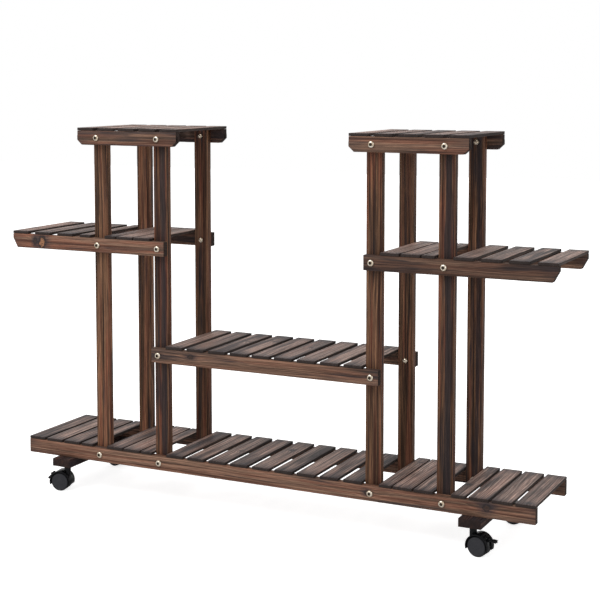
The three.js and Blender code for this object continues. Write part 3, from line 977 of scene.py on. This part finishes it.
def sink_socket(head, top):
    """Draws the crown's middle out to a hexagon and sinks it."""
    with Editing(head) as edit:
        pick_front(edit, top)
        bpy.ops.mesh.inset(thickness=CROWN_RADIUS - SOCKET_HALF)
        mesh = bmesh.from_edit_mesh(head.data)
        for vertex in {vertex for face in mesh.faces if face.select for vertex in face.verts}:
            angle = math.atan2(vertex.co.z, vertex.co.x)
            reach = hexagon_reach(angle, SOCKET_HALF)
            vertex.co.x, vertex.co.z = reach * math.cos(angle), reach * math.sin(angle)
        bmesh.update_edit_mesh(head.data)
        grow((0, SOCKET_DEPTH, 0), (SOCKET_TAPER, 1, SOCKET_TAPER), (0, top + SOCKET_DEPTH, 0))
        grow((0, SOCKET_DEPTH / 8, 0), (DRILL_POINT, 1, DRILL_POINT), (0, 0, 0))


def mark_socket(head, top):
    """Notes the faces inside the socket, which are painted dark as the shade in the recess."""
    centres = np.array([face.center for face in head.data.polygons])
    from_axis = np.hypot(centres[:, 0], centres[:, 2])
    sunk = (centres[:, 1] > top + 10 * TOUCH) & (centres[:, 1] < 0) & (from_axis < CROWN_RADIUS * 0.85)
    store(head, "socket", "FLOAT", "FACE", sunk)


# %% Join head, shank, nut and cap
def unite(piece, *parts):
    for part in parts:
        modify(piece, "BOOLEAN", object=part, operation="UNION", solver="EXACT")
        discard(part)
    return piece


def bolt_for(grip):
    """The bolt of a front rail: crown towards -Y, seat at the origin, nut at the far end of the grip."""
    head = round_bar("head", HEAD_RADIUS, (0, 0, 0), (0, -HEAD_RIM, 0), BOLT_SIDES)
    top = domed(head, -HEAD_RIM, HEAD_RADIUS, HEAD_HEIGHT - HEAD_RIM, CROWN_RADIUS)
    sink_socket(head, top)
    nut_end = grip + NUT_FLAT
    shank_end = nut_end - NUT_FLAT / 2
    shank = round_bar("shank", SHANK_RADIUS, (0, -HEAD_RIM / 2, 0), (0, shank_end, 0), BOLT_SIDES)
    nut_radius = NUT_ACROSS / 2 / math.cos(math.radians(30))
    nut = round_bar("nut", nut_radius, (0, grip, 0), (0, nut_end, 0), 6)
    ease_edges(nut, NUT_EASE)
    # the cap starts as a thin disc across the nut's end, and its dome is drawn towards -Y as the head's is,
    # so it is turned round before it is joined
    cap_start, cap_end = grip + NUT_FLAT * 0.9, grip + NUT_FLAT * 1.1
    cap = round_bar("cap", CAP_RADIUS, (0, -cap_start, 0), (0, -cap_end, 0), BOLT_SIDES)
    domed(cap, -cap_end, CAP_RADIUS, CAP_HEIGHT, CAP_CROWN)
    cap.data.transform(Matrix.Rotation(math.pi, 4, "Z"))
    unite(head, shank, nut, cap)
    mark_socket(head, top)
    head.name = "bolt_blank"
    smooth(head, BOLT_SMOOTH)
    return head


# %% [markdown]
# ### One bolt, placed twenty-eight times
# The rear bolts face backwards, so they are the same copy turned half round. Each is also spun by chance
# about its own axis, because no fitter stops every socket at the same angle.

# %% Place the bolts
grip = front_post_high.y - shelf_low.y
bolt_blank = bolt_for(grip)
bolt_names = [name for name in frame["nodes"] if name.startswith("bolt_")]
for name in bolt_names:
    low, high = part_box(name)
    at_front = low.y < 0
    spin = Matrix.Rotation(math.radians(between(0, 60)), 4, "Y")
    facing = Matrix.Identity(4) if at_front else Matrix.Rotation(math.pi, 4, "Z")
    seat = Vector(((low.x + high.x) / 2, shelf_low.y if at_front else shelf_high.y, (low.z + high.z) / 2))
    bolt = copy_of(bolt_blank, name.replace("bolt_", "fixing_"))
    bolt.data.transform(Matrix.Translation(seat) @ facing @ spin)
    dress(bolt, metal)
    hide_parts(name)
discard(bolt_blank)
print("bolts:", len(bolt_names), "grip", round(grip, 4), "faces each", len(bolt.data.polygons))

# %% [markdown]
# ## Casters
# Each caster is a black hood over two thin wheels. The hood is a drum that is cut away below, hollowed from
# both sides so that a web is left in the middle, and joined to a round neck; that is how the mould makes it
# too. Everything is built once about a swivel axis on Z with the wheels trailing towards +X, and then
# turned to the heading that the joints give each corner.

# %% Headings and sizes that the joints give
joints = {joint["name"]: joint for joint in frame["joints"]}
CORNERS = ("front_left", "front_right", "rear_left", "rear_right")


def heading_of(corner):
    """Swivel axis, heading of the wheels, trail and height of the axle."""
    swivel = Vector(joints[f"swivel_{corner}"]["pos_m"])
    axle = Vector(joints[f"spin_outer_{corner}"]["pos_m"])
    trail = Vector((axle.x - swivel.x, axle.y - swivel.y))
    return swivel, math.atan2(trail.y, trail.x), trail.length, axle.z


_, _, TRAIL, AXLE_HEIGHT = heading_of("front_left")
axle_place = Vector((TRAIL, 0, AXLE_HEIGHT))
print("caster trail", round(TRAIL, 4), "axle height", round(AXLE_HEIGHT, 4))

# %% Sizes of the wheels, the web and the hood
ROUND = 72                        # sides of a full circle
RUNNING_GAP = 0.0003
WHEEL_RADIUS = AXLE_HEIGHT        # the treads stand on the floor
WHEEL_FACE = 0.0140               # half the width over both wheels
WHEEL_INNER = 0.0025
WEB_HALF = 0.0020
BOSS_RADIUS = 0.0060
AXLE_RADIUS = 0.0030
AXLE_HALF = 0.0110
HOOD_HALF_WIDTH = 0.0146
HOOD_INNER = 0.0208
HOOD_WALL = 0.0022
HOOD_OUTER = HOOD_INNER + HOOD_WALL
HOOD_FRONT = 197                  # degrees about the axle, from the trailing side up
HOOD_BACK = -17
HOOD_EASE = 0.0005
MOULDING_SMOOTH = 35              # degrees


def about_axle(angle, reach):
    return axle_place + Vector((math.cos(math.radians(angle)), 0, math.sin(math.radians(angle)))) * reach


print("hood from", HOOD_INNER, "to", round(HOOD_OUTER, 4), "round a wheel of", round(WHEEL_RADIUS, 4))

# %% Sizes of the pedal's hinge
PIVOT_ANGLE = 36                  # of the pin, about the axle
PIVOT_OUT = 0.0024                # hood to pin
PEDAL_HALF = 0.0039
EAR_WIDTH = 0.0020
EAR_RADIUS = 0.0028
PIN_RADIUS = 0.0012
SLOT_BOTTOM = -20                 # degrees about the axle
SLOT_TOP = 46
PIN_SIDES = 36
pivot = about_axle(PIVOT_ANGLE, HOOD_OUTER + PIVOT_OUT)
print("pedal pin at", [round(part, 4) for part in pivot])


# %% Bars and wedges about the axle, to join or cut away
def along_y(name, radius, centre, y0, y1, sides=ROUND):
    return round_bar(name, radius, (centre.x, y0, centre.z), (centre.x, y1, centre.z), sides)


def subtract(piece, *cutters):
    for cutter in cutters:
        modify(piece, "BOOLEAN", object=cutter, operation="DIFFERENCE", solver="EXACT")
        discard(cutter)
    return piece


def wedge(start, end, half_width):
    """A slice of a block about the axle, from one angle to a larger one less than a half turn on."""
    size = 3 * HOOD_OUTER
    piece = block("wedge", axle_place - Vector((size, half_width, size)),
                  axle_place + Vector((size, half_width, size)))
    for angle, side in ((start, 1), (end, -1)):
        outward = Vector((math.sin(math.radians(angle)), 0, -math.cos(math.radians(angle)))) * side
        with Editing(piece) as edit:
            edit.cut(axle_place, outward, use_fill=True, clear_outer=True)
    return piece


def hollows(radius, web_half):
    """The two spaces that the wheels turn in, one on each side of the web."""
    return [along_y("hollow", radius, axle_place, *sorted((side * web_half, side * WHEEL_FACE * 1.5)))
            for side in (1, -1)]


# %% Build the neck
NECK_RADIUS = 0.0070
NECK_FOOT = AXLE_HEIGHT + 0.010
SHOULDER_TOP = 0.0512
SHOULDER_CHAMFER = 0.0011
COLLAR_RADIUS = 0.0058
COLLAR_TOP = 0.0547


def build_neck():
    """The neck and its collar, trimmed to stop inside the hood's wall and web."""
    neck = round_bar("neck", NECK_RADIUS, (0, 0, NECK_FOOT), (0, 0, SHOULDER_TOP), ROUND)
    ease_edges(neck, SHOULDER_CHAMFER, 3)
    collar_foot = SHOULDER_TOP - SHOULDER_CHAMFER
    unite(neck, round_bar("collar", COLLAR_RADIUS, (0, 0, collar_foot), (0, 0, COLLAR_TOP), ROUND))
    return subtract(neck, *hollows(HOOD_INNER + HOOD_WALL / 3, WEB_HALF * 0.8))


# %% Build an ear
def build_ear(side):
    """One of the two ears that hold the pedal's pin, rounded at its tip and rooted in the hood."""
    inner = PEDAL_HALF + RUNNING_GAP
    y0, y1 = sorted((side * inner, side * (inner + EAR_WIDTH)))
    ear = along_y("ear", EAR_RADIUS, pivot, y0, y1, PIN_SIDES)
    root = block("root", (0, y0, -EAR_RADIUS), (PIVOT_OUT + HOOD_WALL / 2, y1, EAR_RADIUS))
    root.data.transform(Matrix.Translation(pivot) @ Matrix.Rotation(math.radians(180 - PIVOT_ANGLE), 4, "Y"))
    return unite(ear, root)


# %% Build the hood
def pedal_slot():
    """The ring sector that is cut out of the hood for the pedal to swing in."""
    half = PEDAL_HALF + RUNNING_GAP
    slot = along_y("slot", HOOD_OUTER + HOOD_WALL, axle_place, -half, half)
    subtract(slot, along_y("core", WHEEL_RADIUS - 2 * RUNNING_GAP, axle_place, -WHEEL_FACE, WHEEL_FACE))
    sector = wedge(SLOT_BOTTOM, SLOT_TOP, WHEEL_FACE)
    modify(slot, "BOOLEAN", object=sector, operation="INTERSECT", solver="EXACT")
    discard(sector)
    return slot


def build_hood():
    hood = along_y("hood", HOOD_OUTER, axle_place, -HOOD_HALF_WIDTH, HOOD_HALF_WIDTH)
    subtract(hood, wedge(HOOD_FRONT, 360 + HOOD_BACK, 2 * WHEEL_FACE), *hollows(HOOD_INNER, WEB_HALF))
    subtract(hood, pedal_slot())
    ease_edges(hood, HOOD_EASE)
    boss = along_y("boss", BOSS_RADIUS, axle_place, -WHEEL_INNER + RUNNING_GAP, WHEEL_INNER - RUNNING_GAP)
    axle = along_y("axle", AXLE_RADIUS, axle_place, -AXLE_HALF, AXLE_HALF)
    unite(hood, build_neck(), boss, axle, build_ear(1), build_ear(-1))
    subtract(hood, along_y("pin_hole", PIN_RADIUS + RUNNING_GAP, pivot, -WHEEL_FACE, WHEEL_FACE, PIN_SIDES))
    smooth(hood, MOULDING_SMOOTH)
    return hood


hood_blank = build_hood()
_, hood_high = corners(hood_blank)
print("hood faces", len(hood_blank.data.polygons), "top", round(hood_high.z, 4))

# %% [markdown]
# ## Wheels
# A wheel is turned about the axle. It starts as a plain disc between the inner shoulder and the rim. The
# outer face is drawn out in steps to the flat cover that the photograph shows, with a fine groove round it,
# and the inner face gets the blind bore for the axle. Every second facet of the inner shoulder is pushed
# in, which makes the teeth that the brake shoe drops into.

# %% Steps of the wheel's two faces
COVER_RADIUS = 0.0178
TREAD_START = WHEEL_INNER + 0.0012
TREAD_END = WHEEL_FACE - 0.0032
TEETH_BAND = 0.0022
TOOTH_SINK = 0.955                # of the wheel's radius
RIM_SHARE = 0.97                  # of it, past which a facet is part of the tread
WHEEL_SMOOTH = 30                 # degrees
BORE_RADIUS = AXLE_RADIUS + RUNNING_GAP
# each step is the new radius and how far the face moves outwards from the caster's middle
OUTER_STEPS = [
    (WHEEL_RADIUS - 0.0003, 0.0008), (WHEEL_RADIUS - 0.0009, 0.0010), (COVER_RADIUS + 0.0005, 0.0008),
    (COVER_RADIUS + 0.0003, 0.0), (COVER_RADIUS + 0.0003, -0.0005), (COVER_RADIUS, 0.0),
    (COVER_RADIUS - 0.0002, 0.0009), (COVER_RADIUS - 0.0007, 0.0002), (COVER_RADIUS - 0.0030, 0.0),
    (COVER_RADIUS - 0.0034, -0.0004), (0.0056, 0.0), (0.0052, 0.0003), (0.0010, 0.0),
]
INNER_STEPS = [
    (WHEEL_RADIUS - 0.0012, -0.0012), (WHEEL_RADIUS - 0.0034, 0.0), (WHEEL_RADIUS - 0.0036, 0.0050),
    (BORE_RADIUS + 0.0022, 0.0), (BORE_RADIUS + 0.0020, -0.0045), (BORE_RADIUS, 0.0),
    (BORE_RADIUS, AXLE_HALF - WHEEL_INNER - RUNNING_GAP),
]


def draw_out(steps):
    """Extrudes the selected faces step by step, each ring at its own radius."""
    radius = WHEEL_RADIUS
    for new_radius, step in steps:
        factor = new_radius / radius
        grow((0, step, 0), (factor, 1, factor), axle_place)
        radius = new_radius


# %% Build the wheel
def is_tooth(centre, normal):
    """Every second facet of the band beside the inner shoulder."""
    angle = math.degrees(math.atan2(centre.z - axle_place.z, centre.x - axle_place.x))
    in_band = centre.y < TREAD_START + TEETH_BAND and abs(normal.y) < 0.2
    outermost = (centre - axle_place).xz.length > WHEEL_RADIUS * RIM_SHARE
    return in_band and outermost and int(angle // (360 / ROUND)) % 2 == 0


def build_wheel():
    wheel = along_y("wheel", WHEEL_RADIUS, axle_place, TREAD_START, TREAD_END)
    with Editing(wheel) as edit:
        edit.cut((0, TREAD_START + TEETH_BAND, 0), AXES[Y])
        edit.pick(lambda centre, normal: normal.y > LOOKS_ALONG)
        draw_out(OUTER_STEPS)
        edit.pick(lambda centre, normal: normal.y < -LOOKS_ALONG and centre.y < TREAD_START + TEETH_BAND / 2)
        draw_out(INNER_STEPS)
        edit.pick(is_tooth)
        grow((0, 0, 0), (TOOTH_SINK, 1, TOOTH_SINK), axle_place)
    centres = np.array([face.center for face in wheel.data.polygons]) - np.array(axle_place)
    store(wheel, "tyre", "FLOAT", "FACE", np.hypot(centres[:, 0], centres[:, 2]) > COVER_RADIUS)
    smooth(wheel, WHEEL_SMOOTH)
    return wheel


wheel_blank = build_wheel()
print("wheel faces", len(wheel_blank.data.polygons))

# %% [markdown]
# ## Brake pedals
# The pedal hinges on a pin between the hood's ears. Pressing the pad down swings its shoe in against the
# treads of both wheels. It is drawn about its pin, pointing along +X: a short lever that is extruded and
# drawn out wider and deeper, and notched at the tip, so that it ends in two lips, one for pressing it down
# and one for lifting it again. The shoe points down while the pedal is up.

# %% Sizes of the pedal
PEDAL_REACH = 0.0150              # pin to tip
PEDAL_PAD_HALF = 0.0055
PEDAL_ARM_DEPTH = 0.0010          # half of it, as for the tip
PEDAL_TIP_DEPTH = 0.0021
TIP_TAPER = 0.96
NOTCH = 0.85                      # of the tip's half depth
LIFTED_DIP = 10                   # degrees below level
BARREL_RADIUS = 0.0022
SHOE_HALF = 0.0012
BRAKE_GAP = 0.0004
PEDAL_EASE = 0.0003
pedal_low, pedal_high = joints["pedal_front_right"]["range_deg"]
PEDAL_TRAVEL = pedal_high - pedal_low
print("pedal travel", PEDAL_TRAVEL, "degrees")


# %% Build the pedal
def build_lever():
    """The lever from the pin to its notched tip, along +X."""
    pad_start = EAR_RADIUS + BARREL_RADIUS
    flare = PEDAL_PAD_HALF / PEDAL_HALF
    deepen = PEDAL_TIP_DEPTH / PEDAL_ARM_DEPTH
    lever = block("pedal", (0, -PEDAL_HALF, -PEDAL_ARM_DEPTH), (pad_start, PEDAL_HALF, PEDAL_ARM_DEPTH))
    runs = (PEDAL_REACH * 0.12, PEDAL_REACH * 0.25, PEDAL_REACH * 0.63 - pad_start)
    widenings = (flare ** 0.8, flare ** 0.2, TIP_TAPER)
    deepenings = (deepen ** 0.15, deepen ** 0.35, deepen ** 0.5)
    with Editing(lever) as edit:
        edit.pick(lambda centre, normal: normal.x > LOOKS_ALONG)
        for run, widening, deepening in zip(runs, widenings, deepenings):
            grow((run, 0, 0), (1, widening, deepening), (0, 0, 0))
    tip = Vector((PEDAL_REACH, 0, 0))
    return subtract(lever, along_y("notch", PEDAL_TIP_DEPTH * NOTCH, tip, -2 * PEDAL_HALF, 2 * PEDAL_HALF, 4))


def build_shoe():
    """The shoe, turned to where it points while the pedal is up."""
    shoe_reach = HOOD_OUTER + PIVOT_OUT - WHEEL_RADIUS - BRAKE_GAP
    shoe = block("shoe", (0, -PEDAL_HALF, -SHOE_HALF), (shoe_reach, PEDAL_HALF, SHOE_HALF))
    shoe.data.transform(Matrix.Rotation(-math.radians(180 + PIVOT_ANGLE + PEDAL_TRAVEL), 4, "Y"))
    return shoe


def build_pedal():
    pedal = build_lever()
    pedal.data.transform(Matrix.Rotation(math.radians(LIFTED_DIP), 4, "Y"))
    pin_place = Vector((0, 0, 0))
    barrel = along_y("barrel", BARREL_RADIUS, pin_place, -PEDAL_HALF, PEDAL_HALF, PIN_SIDES)
    unite(pedal, build_shoe(), barrel)
    ease_edges(pedal, PEDAL_EASE)
    pin_half = PEDAL_HALF + EAR_WIDTH
    unite(pedal, along_y("pin", PIN_RADIUS, pin_place, -pin_half, pin_half, PIN_SIDES))
    smooth(pedal, MOULDING_SMOOTH)
    return pedal


pedal_blank = build_pedal()
print("pedal faces", len(pedal_blank.data.polygons))

# %% [markdown]
# ## Stems
# Each caster swivels on a steel stem that is pressed into the neck and turns in the beam. Hardly anything of
# it shows, and it is modelled by itself, because it is metal and the hood is not.

# %% Build the stem
STEM_RADIUS = 0.0040
STEM_TOP = 0.0685
STEM_IN_NECK = 0.003
STEM_EASE = 0.0006


def build_stem():
    stem = round_bar("stem", STEM_RADIUS, (0, 0, COLLAR_TOP - STEM_IN_NECK), (0, 0, STEM_TOP), PIN_SIDES)
    ease_edges(stem, STEM_EASE)
    smooth(stem, MOULDING_SMOOTH)
    return stem


stem_blank = build_stem()
print("stem faces", len(stem_blank.data.polygons))

# %% [markdown]
# ## Moulded plastic
# The hood and the pedal are satin black with the faint waviness of a moulding, the wheel covers are a matt
# charcoal with a finer texture, and the running surface beside them is blacker. One recipe makes all three
# and reads object coordinates, at scales from a centimetre down to less than a millimetre.

# %% Plastic finishes
SATIN_BLACK = (0.0040, 0.0040, 0.0048, 1)
DUSTY_BLACK = (0.008, 0.008, 0.009, 1)
CHARCOAL = (0.027, 0.027, 0.031, 1)
DUSTY_CHARCOAL = (0.040, 0.040, 0.044, 1)
TYRE_BLACK = (0.0050, 0.0050, 0.0060, 1)


def moulded(name, colour, dusty, glosses, shine, spark, tyre_colour=None):
    """glosses are the least and greatest roughness, and spark is the scale of the fine texture."""
    material, tree, shader = new_material(name)
    place = tree.nodes.new("ShaderNodeTexCoord").outputs["Object"]
    cloud = noise(tree, place, 110.0, 4.0)
    fine = noise(tree, place, spark, 2.0)
    shade = mixed(tree, graded(tree, cloud, (0.45, 0.0), (0.80, 0.55)), colour, dusty)
    if tyre_colour:
        shade = mixed(tree, attribute(tree, "tyre", "Fac"), shade, tyre_colour)
    feed(tree, shader.inputs["Base Color"], shade)
    feed(tree, shader.inputs["Roughness"], graded(tree, cloud, (0.3, glosses[0]), (0.75, glosses[1])))
    height = maths(tree, "MULTIPLY_ADD", cloud, 0.5, fine)
    feed(tree, shader.inputs["Normal"], relief(tree, height, 0.00006, 0.6))
    shader.inputs["Specular IOR Level"].default_value = shine
    return material


hood_finish = moulded("satin_black_moulding", SATIN_BLACK, DUSTY_BLACK, (0.20, 0.36), 0.12, 1500.0)
wheel_finish = moulded("charcoal_moulding", CHARCOAL, DUSTY_CHARCOAL, (0.40, 0.56), 0.15, 2600.0, TYRE_BLACK)
pedal_finish = moulded("black_pedal_moulding", SATIN_BLACK, DUSTY_BLACK, (0.34, 0.50), 0.12, 1900.0)
for finish in (hood_finish, wheel_finish, pedal_finish):
    print(finish.name, "has", len(finish.node_tree.nodes), "nodes")

# %% [markdown]
# ### Each caster at its own heading
# A caster that has been pushed about stands at whatever angle it was left, so no two are alike. The blanks
# were built about the swivel axis, so one turn and one shift put all the pieces of a caster in place. The
# pedal is first hung on its pin, and pressed where the model rests with it pressed, and the inner wheel is
# the outer one turned half round.

# %% Place the casters
AS_BUILT = Matrix.Identity(4)
half_turn = Matrix.Rotation(math.pi, 4, "Z")
flipped = Matrix.Translation(axle_place) @ half_turn @ Matrix.Translation(-axle_place)


def put(blank, name, place, finish, body):
    piece = copy_of(blank, name)
    piece.data.transform(place)
    return dress(piece, finish, body)


for corner in CORNERS:
    swivel, turn, _, _ = heading_of(corner)
    place = Matrix.Translation((swivel.x, swivel.y, 0)) @ Matrix.Rotation(turn, 4, "Z")
    pressed = -joints[f"pedal_{corner}"]["range_deg"][0]
    on_pin = Matrix.Translation(pivot) @ Matrix.Rotation(math.radians(pressed), 4, "Y")

    hood = put(hood_blank, f"hood_{corner}", place, hood_finish, f"caster_{corner}")
    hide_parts(f"caster_hood_{corner}")
    put(stem_blank, f"stem_{corner}", place, metal, f"caster_{corner}")
    pedal = put(pedal_blank, f"pedal_of_{corner}", place @ on_pin, pedal_finish,
                f"pedal_{corner}")
    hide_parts(f"brake_pedal_{corner}")
    for face, side in (("outer", AS_BUILT), ("inner", flipped)):
        wheel = put(wheel_blank, f"twin_{face}_{corner}", place @ side, wheel_finish,
                    f"wheel_{face}_{corner}")
        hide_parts(f"wheel_{face}_{corner}")
    print(corner.replace("_", " "), "caster turned", round(math.degrees(turn)), "pedal pressed", pressed)
discard(hood_blank, wheel_blank, pedal_blank, stem_blank)

# %% [markdown]
# ## Floor, light and camera
# The stand is photographed on white, so the floor is pale and plain and the world behind it is white to the
# camera. The light is soft: a wide lamp overhead and in front, a weaker one to the right, and the even
# world. The camera stands in front and to the right of the middle, low enough that the shelves are seen
# almost edge on.

# %% Floor
FLOOR_HALF = 9.0
FLOOR_GREY = (0.86, 0.86, 0.86, 1)
FLOOR_LIFT = 0.74                 # light that the camera sees on the floor, to bring it up to white
WHITE = (1, 1, 1, 1)
bpy.ops.object.select_all(action="DESELECT")
bpy.ops.mesh.primitive_plane_add(size=2 * FLOOR_HALF, location=(0, 0, 0))
floor = bpy.context.object
floor.name = "floor"
settle(floor)
floor_material, floor_tree, floor_shader = new_material("pale_floor")
floor_shader.inputs["Base Color"].default_value = FLOOR_GREY
floor_shader.inputs["Roughness"].default_value = 0.9
floor_shader.inputs["Specular IOR Level"].default_value = 0.0
floor_shader.inputs["Emission Color"].default_value = WHITE
rays = floor_tree.nodes.new("ShaderNodeLightPath")
feed(floor_tree, floor_shader.inputs["Emission Strength"],
     maths(floor_tree, "MULTIPLY", rays.outputs["Is Camera Ray"], FLOOR_LIFT))
floor.data.materials.append(floor_material)
print("floor", 2 * FLOOR_HALF, "metres wide, lifted by", FLOOR_LIFT)

# %% World
WORLD_LIGHT = 0.75                # what the world gives as light, where the camera and mirrors see 1
world = bpy.data.worlds.new("studio")
bpy.context.scene.world = world
world.use_nodes = True
world_tree = world.node_tree
background = world_tree.nodes["Background"]
background.inputs["Color"].default_value = WHITE
world_rays = world_tree.nodes.new("ShaderNodeLightPath")
seen = maths(world_tree, "MAXIMUM", world_rays.outputs["Is Camera Ray"],
             maths(world_tree, "MAXIMUM", world_rays.outputs["Is Glossy Ray"],
                   world_rays.outputs["Is Transmission Ray"]))
feed(world_tree, background.inputs["Strength"],
     maths(world_tree, "MULTIPLY_ADD", seen, 1 - WORLD_LIGHT, WORLD_LIGHT))
print("world light", WORLD_LIGHT)

# %% Lamps
stand_middle = (0, 0, 0.4)


def soft_lamp(name, place, target, size, power):
    lamp = bpy.data.objects.new(name, bpy.data.lights.new(name, "AREA"))
    bpy.context.scene.collection.objects.link(lamp)
    lamp.location = place
    lamp.rotation_euler = (Vector(target) - Vector(place)).to_track_quat("-Z", "Y").to_euler()
    lamp.data.size = size
    lamp.data.energy = power
    print(name, "of", power, "watts at", place)
    return lamp


soft_lamp("overhead_softbox", (-0.9, -1.6, 2.6), stand_middle, size=1.6, power=42)
soft_lamp("right_fill", (2.4, -1.6, 1.2), stand_middle, size=1.4, power=10)

# %% [markdown]
# ### Where the photographer stood
# The photograph's converging lines give the camera's place, its turn and its focal length. The lens looks
# only a little downwards and the frame is shifted down instead, which keeps the posts nearly upright, as
# they are there.

# %% Camera
PHOTO_WIDTH = 600                 # pixels
FOCAL_PIXELS = 1390.9
SENSOR = 36.0                     # millimetres
CAMERA_PLACE = (1.2688, -2.5019, 0.8847)
CAMERA_TURN = 26.22               # degrees round the stand, to its right
CAMERA_PITCH = 4.71               # degrees below level
CAMERA_SHIFT = -0.183
camera = bpy.data.objects.new("camera", bpy.data.cameras.new("camera"))
bpy.context.scene.collection.objects.link(camera)
camera.data.sensor_width = SENSOR
camera.data.lens = FOCAL_PIXELS / PHOTO_WIDTH * SENSOR
camera.location = CAMERA_PLACE
camera.rotation_euler = (math.radians(90 - CAMERA_PITCH), 0, math.radians(CAMERA_TURN))
camera.data.shift_y = CAMERA_SHIFT
bpy.context.scene.camera = camera
bpy.context.scene.view_settings.view_transform = "Standard"
print("camera", round(camera.data.lens, 2), "mm at", CAMERA_PLACE)
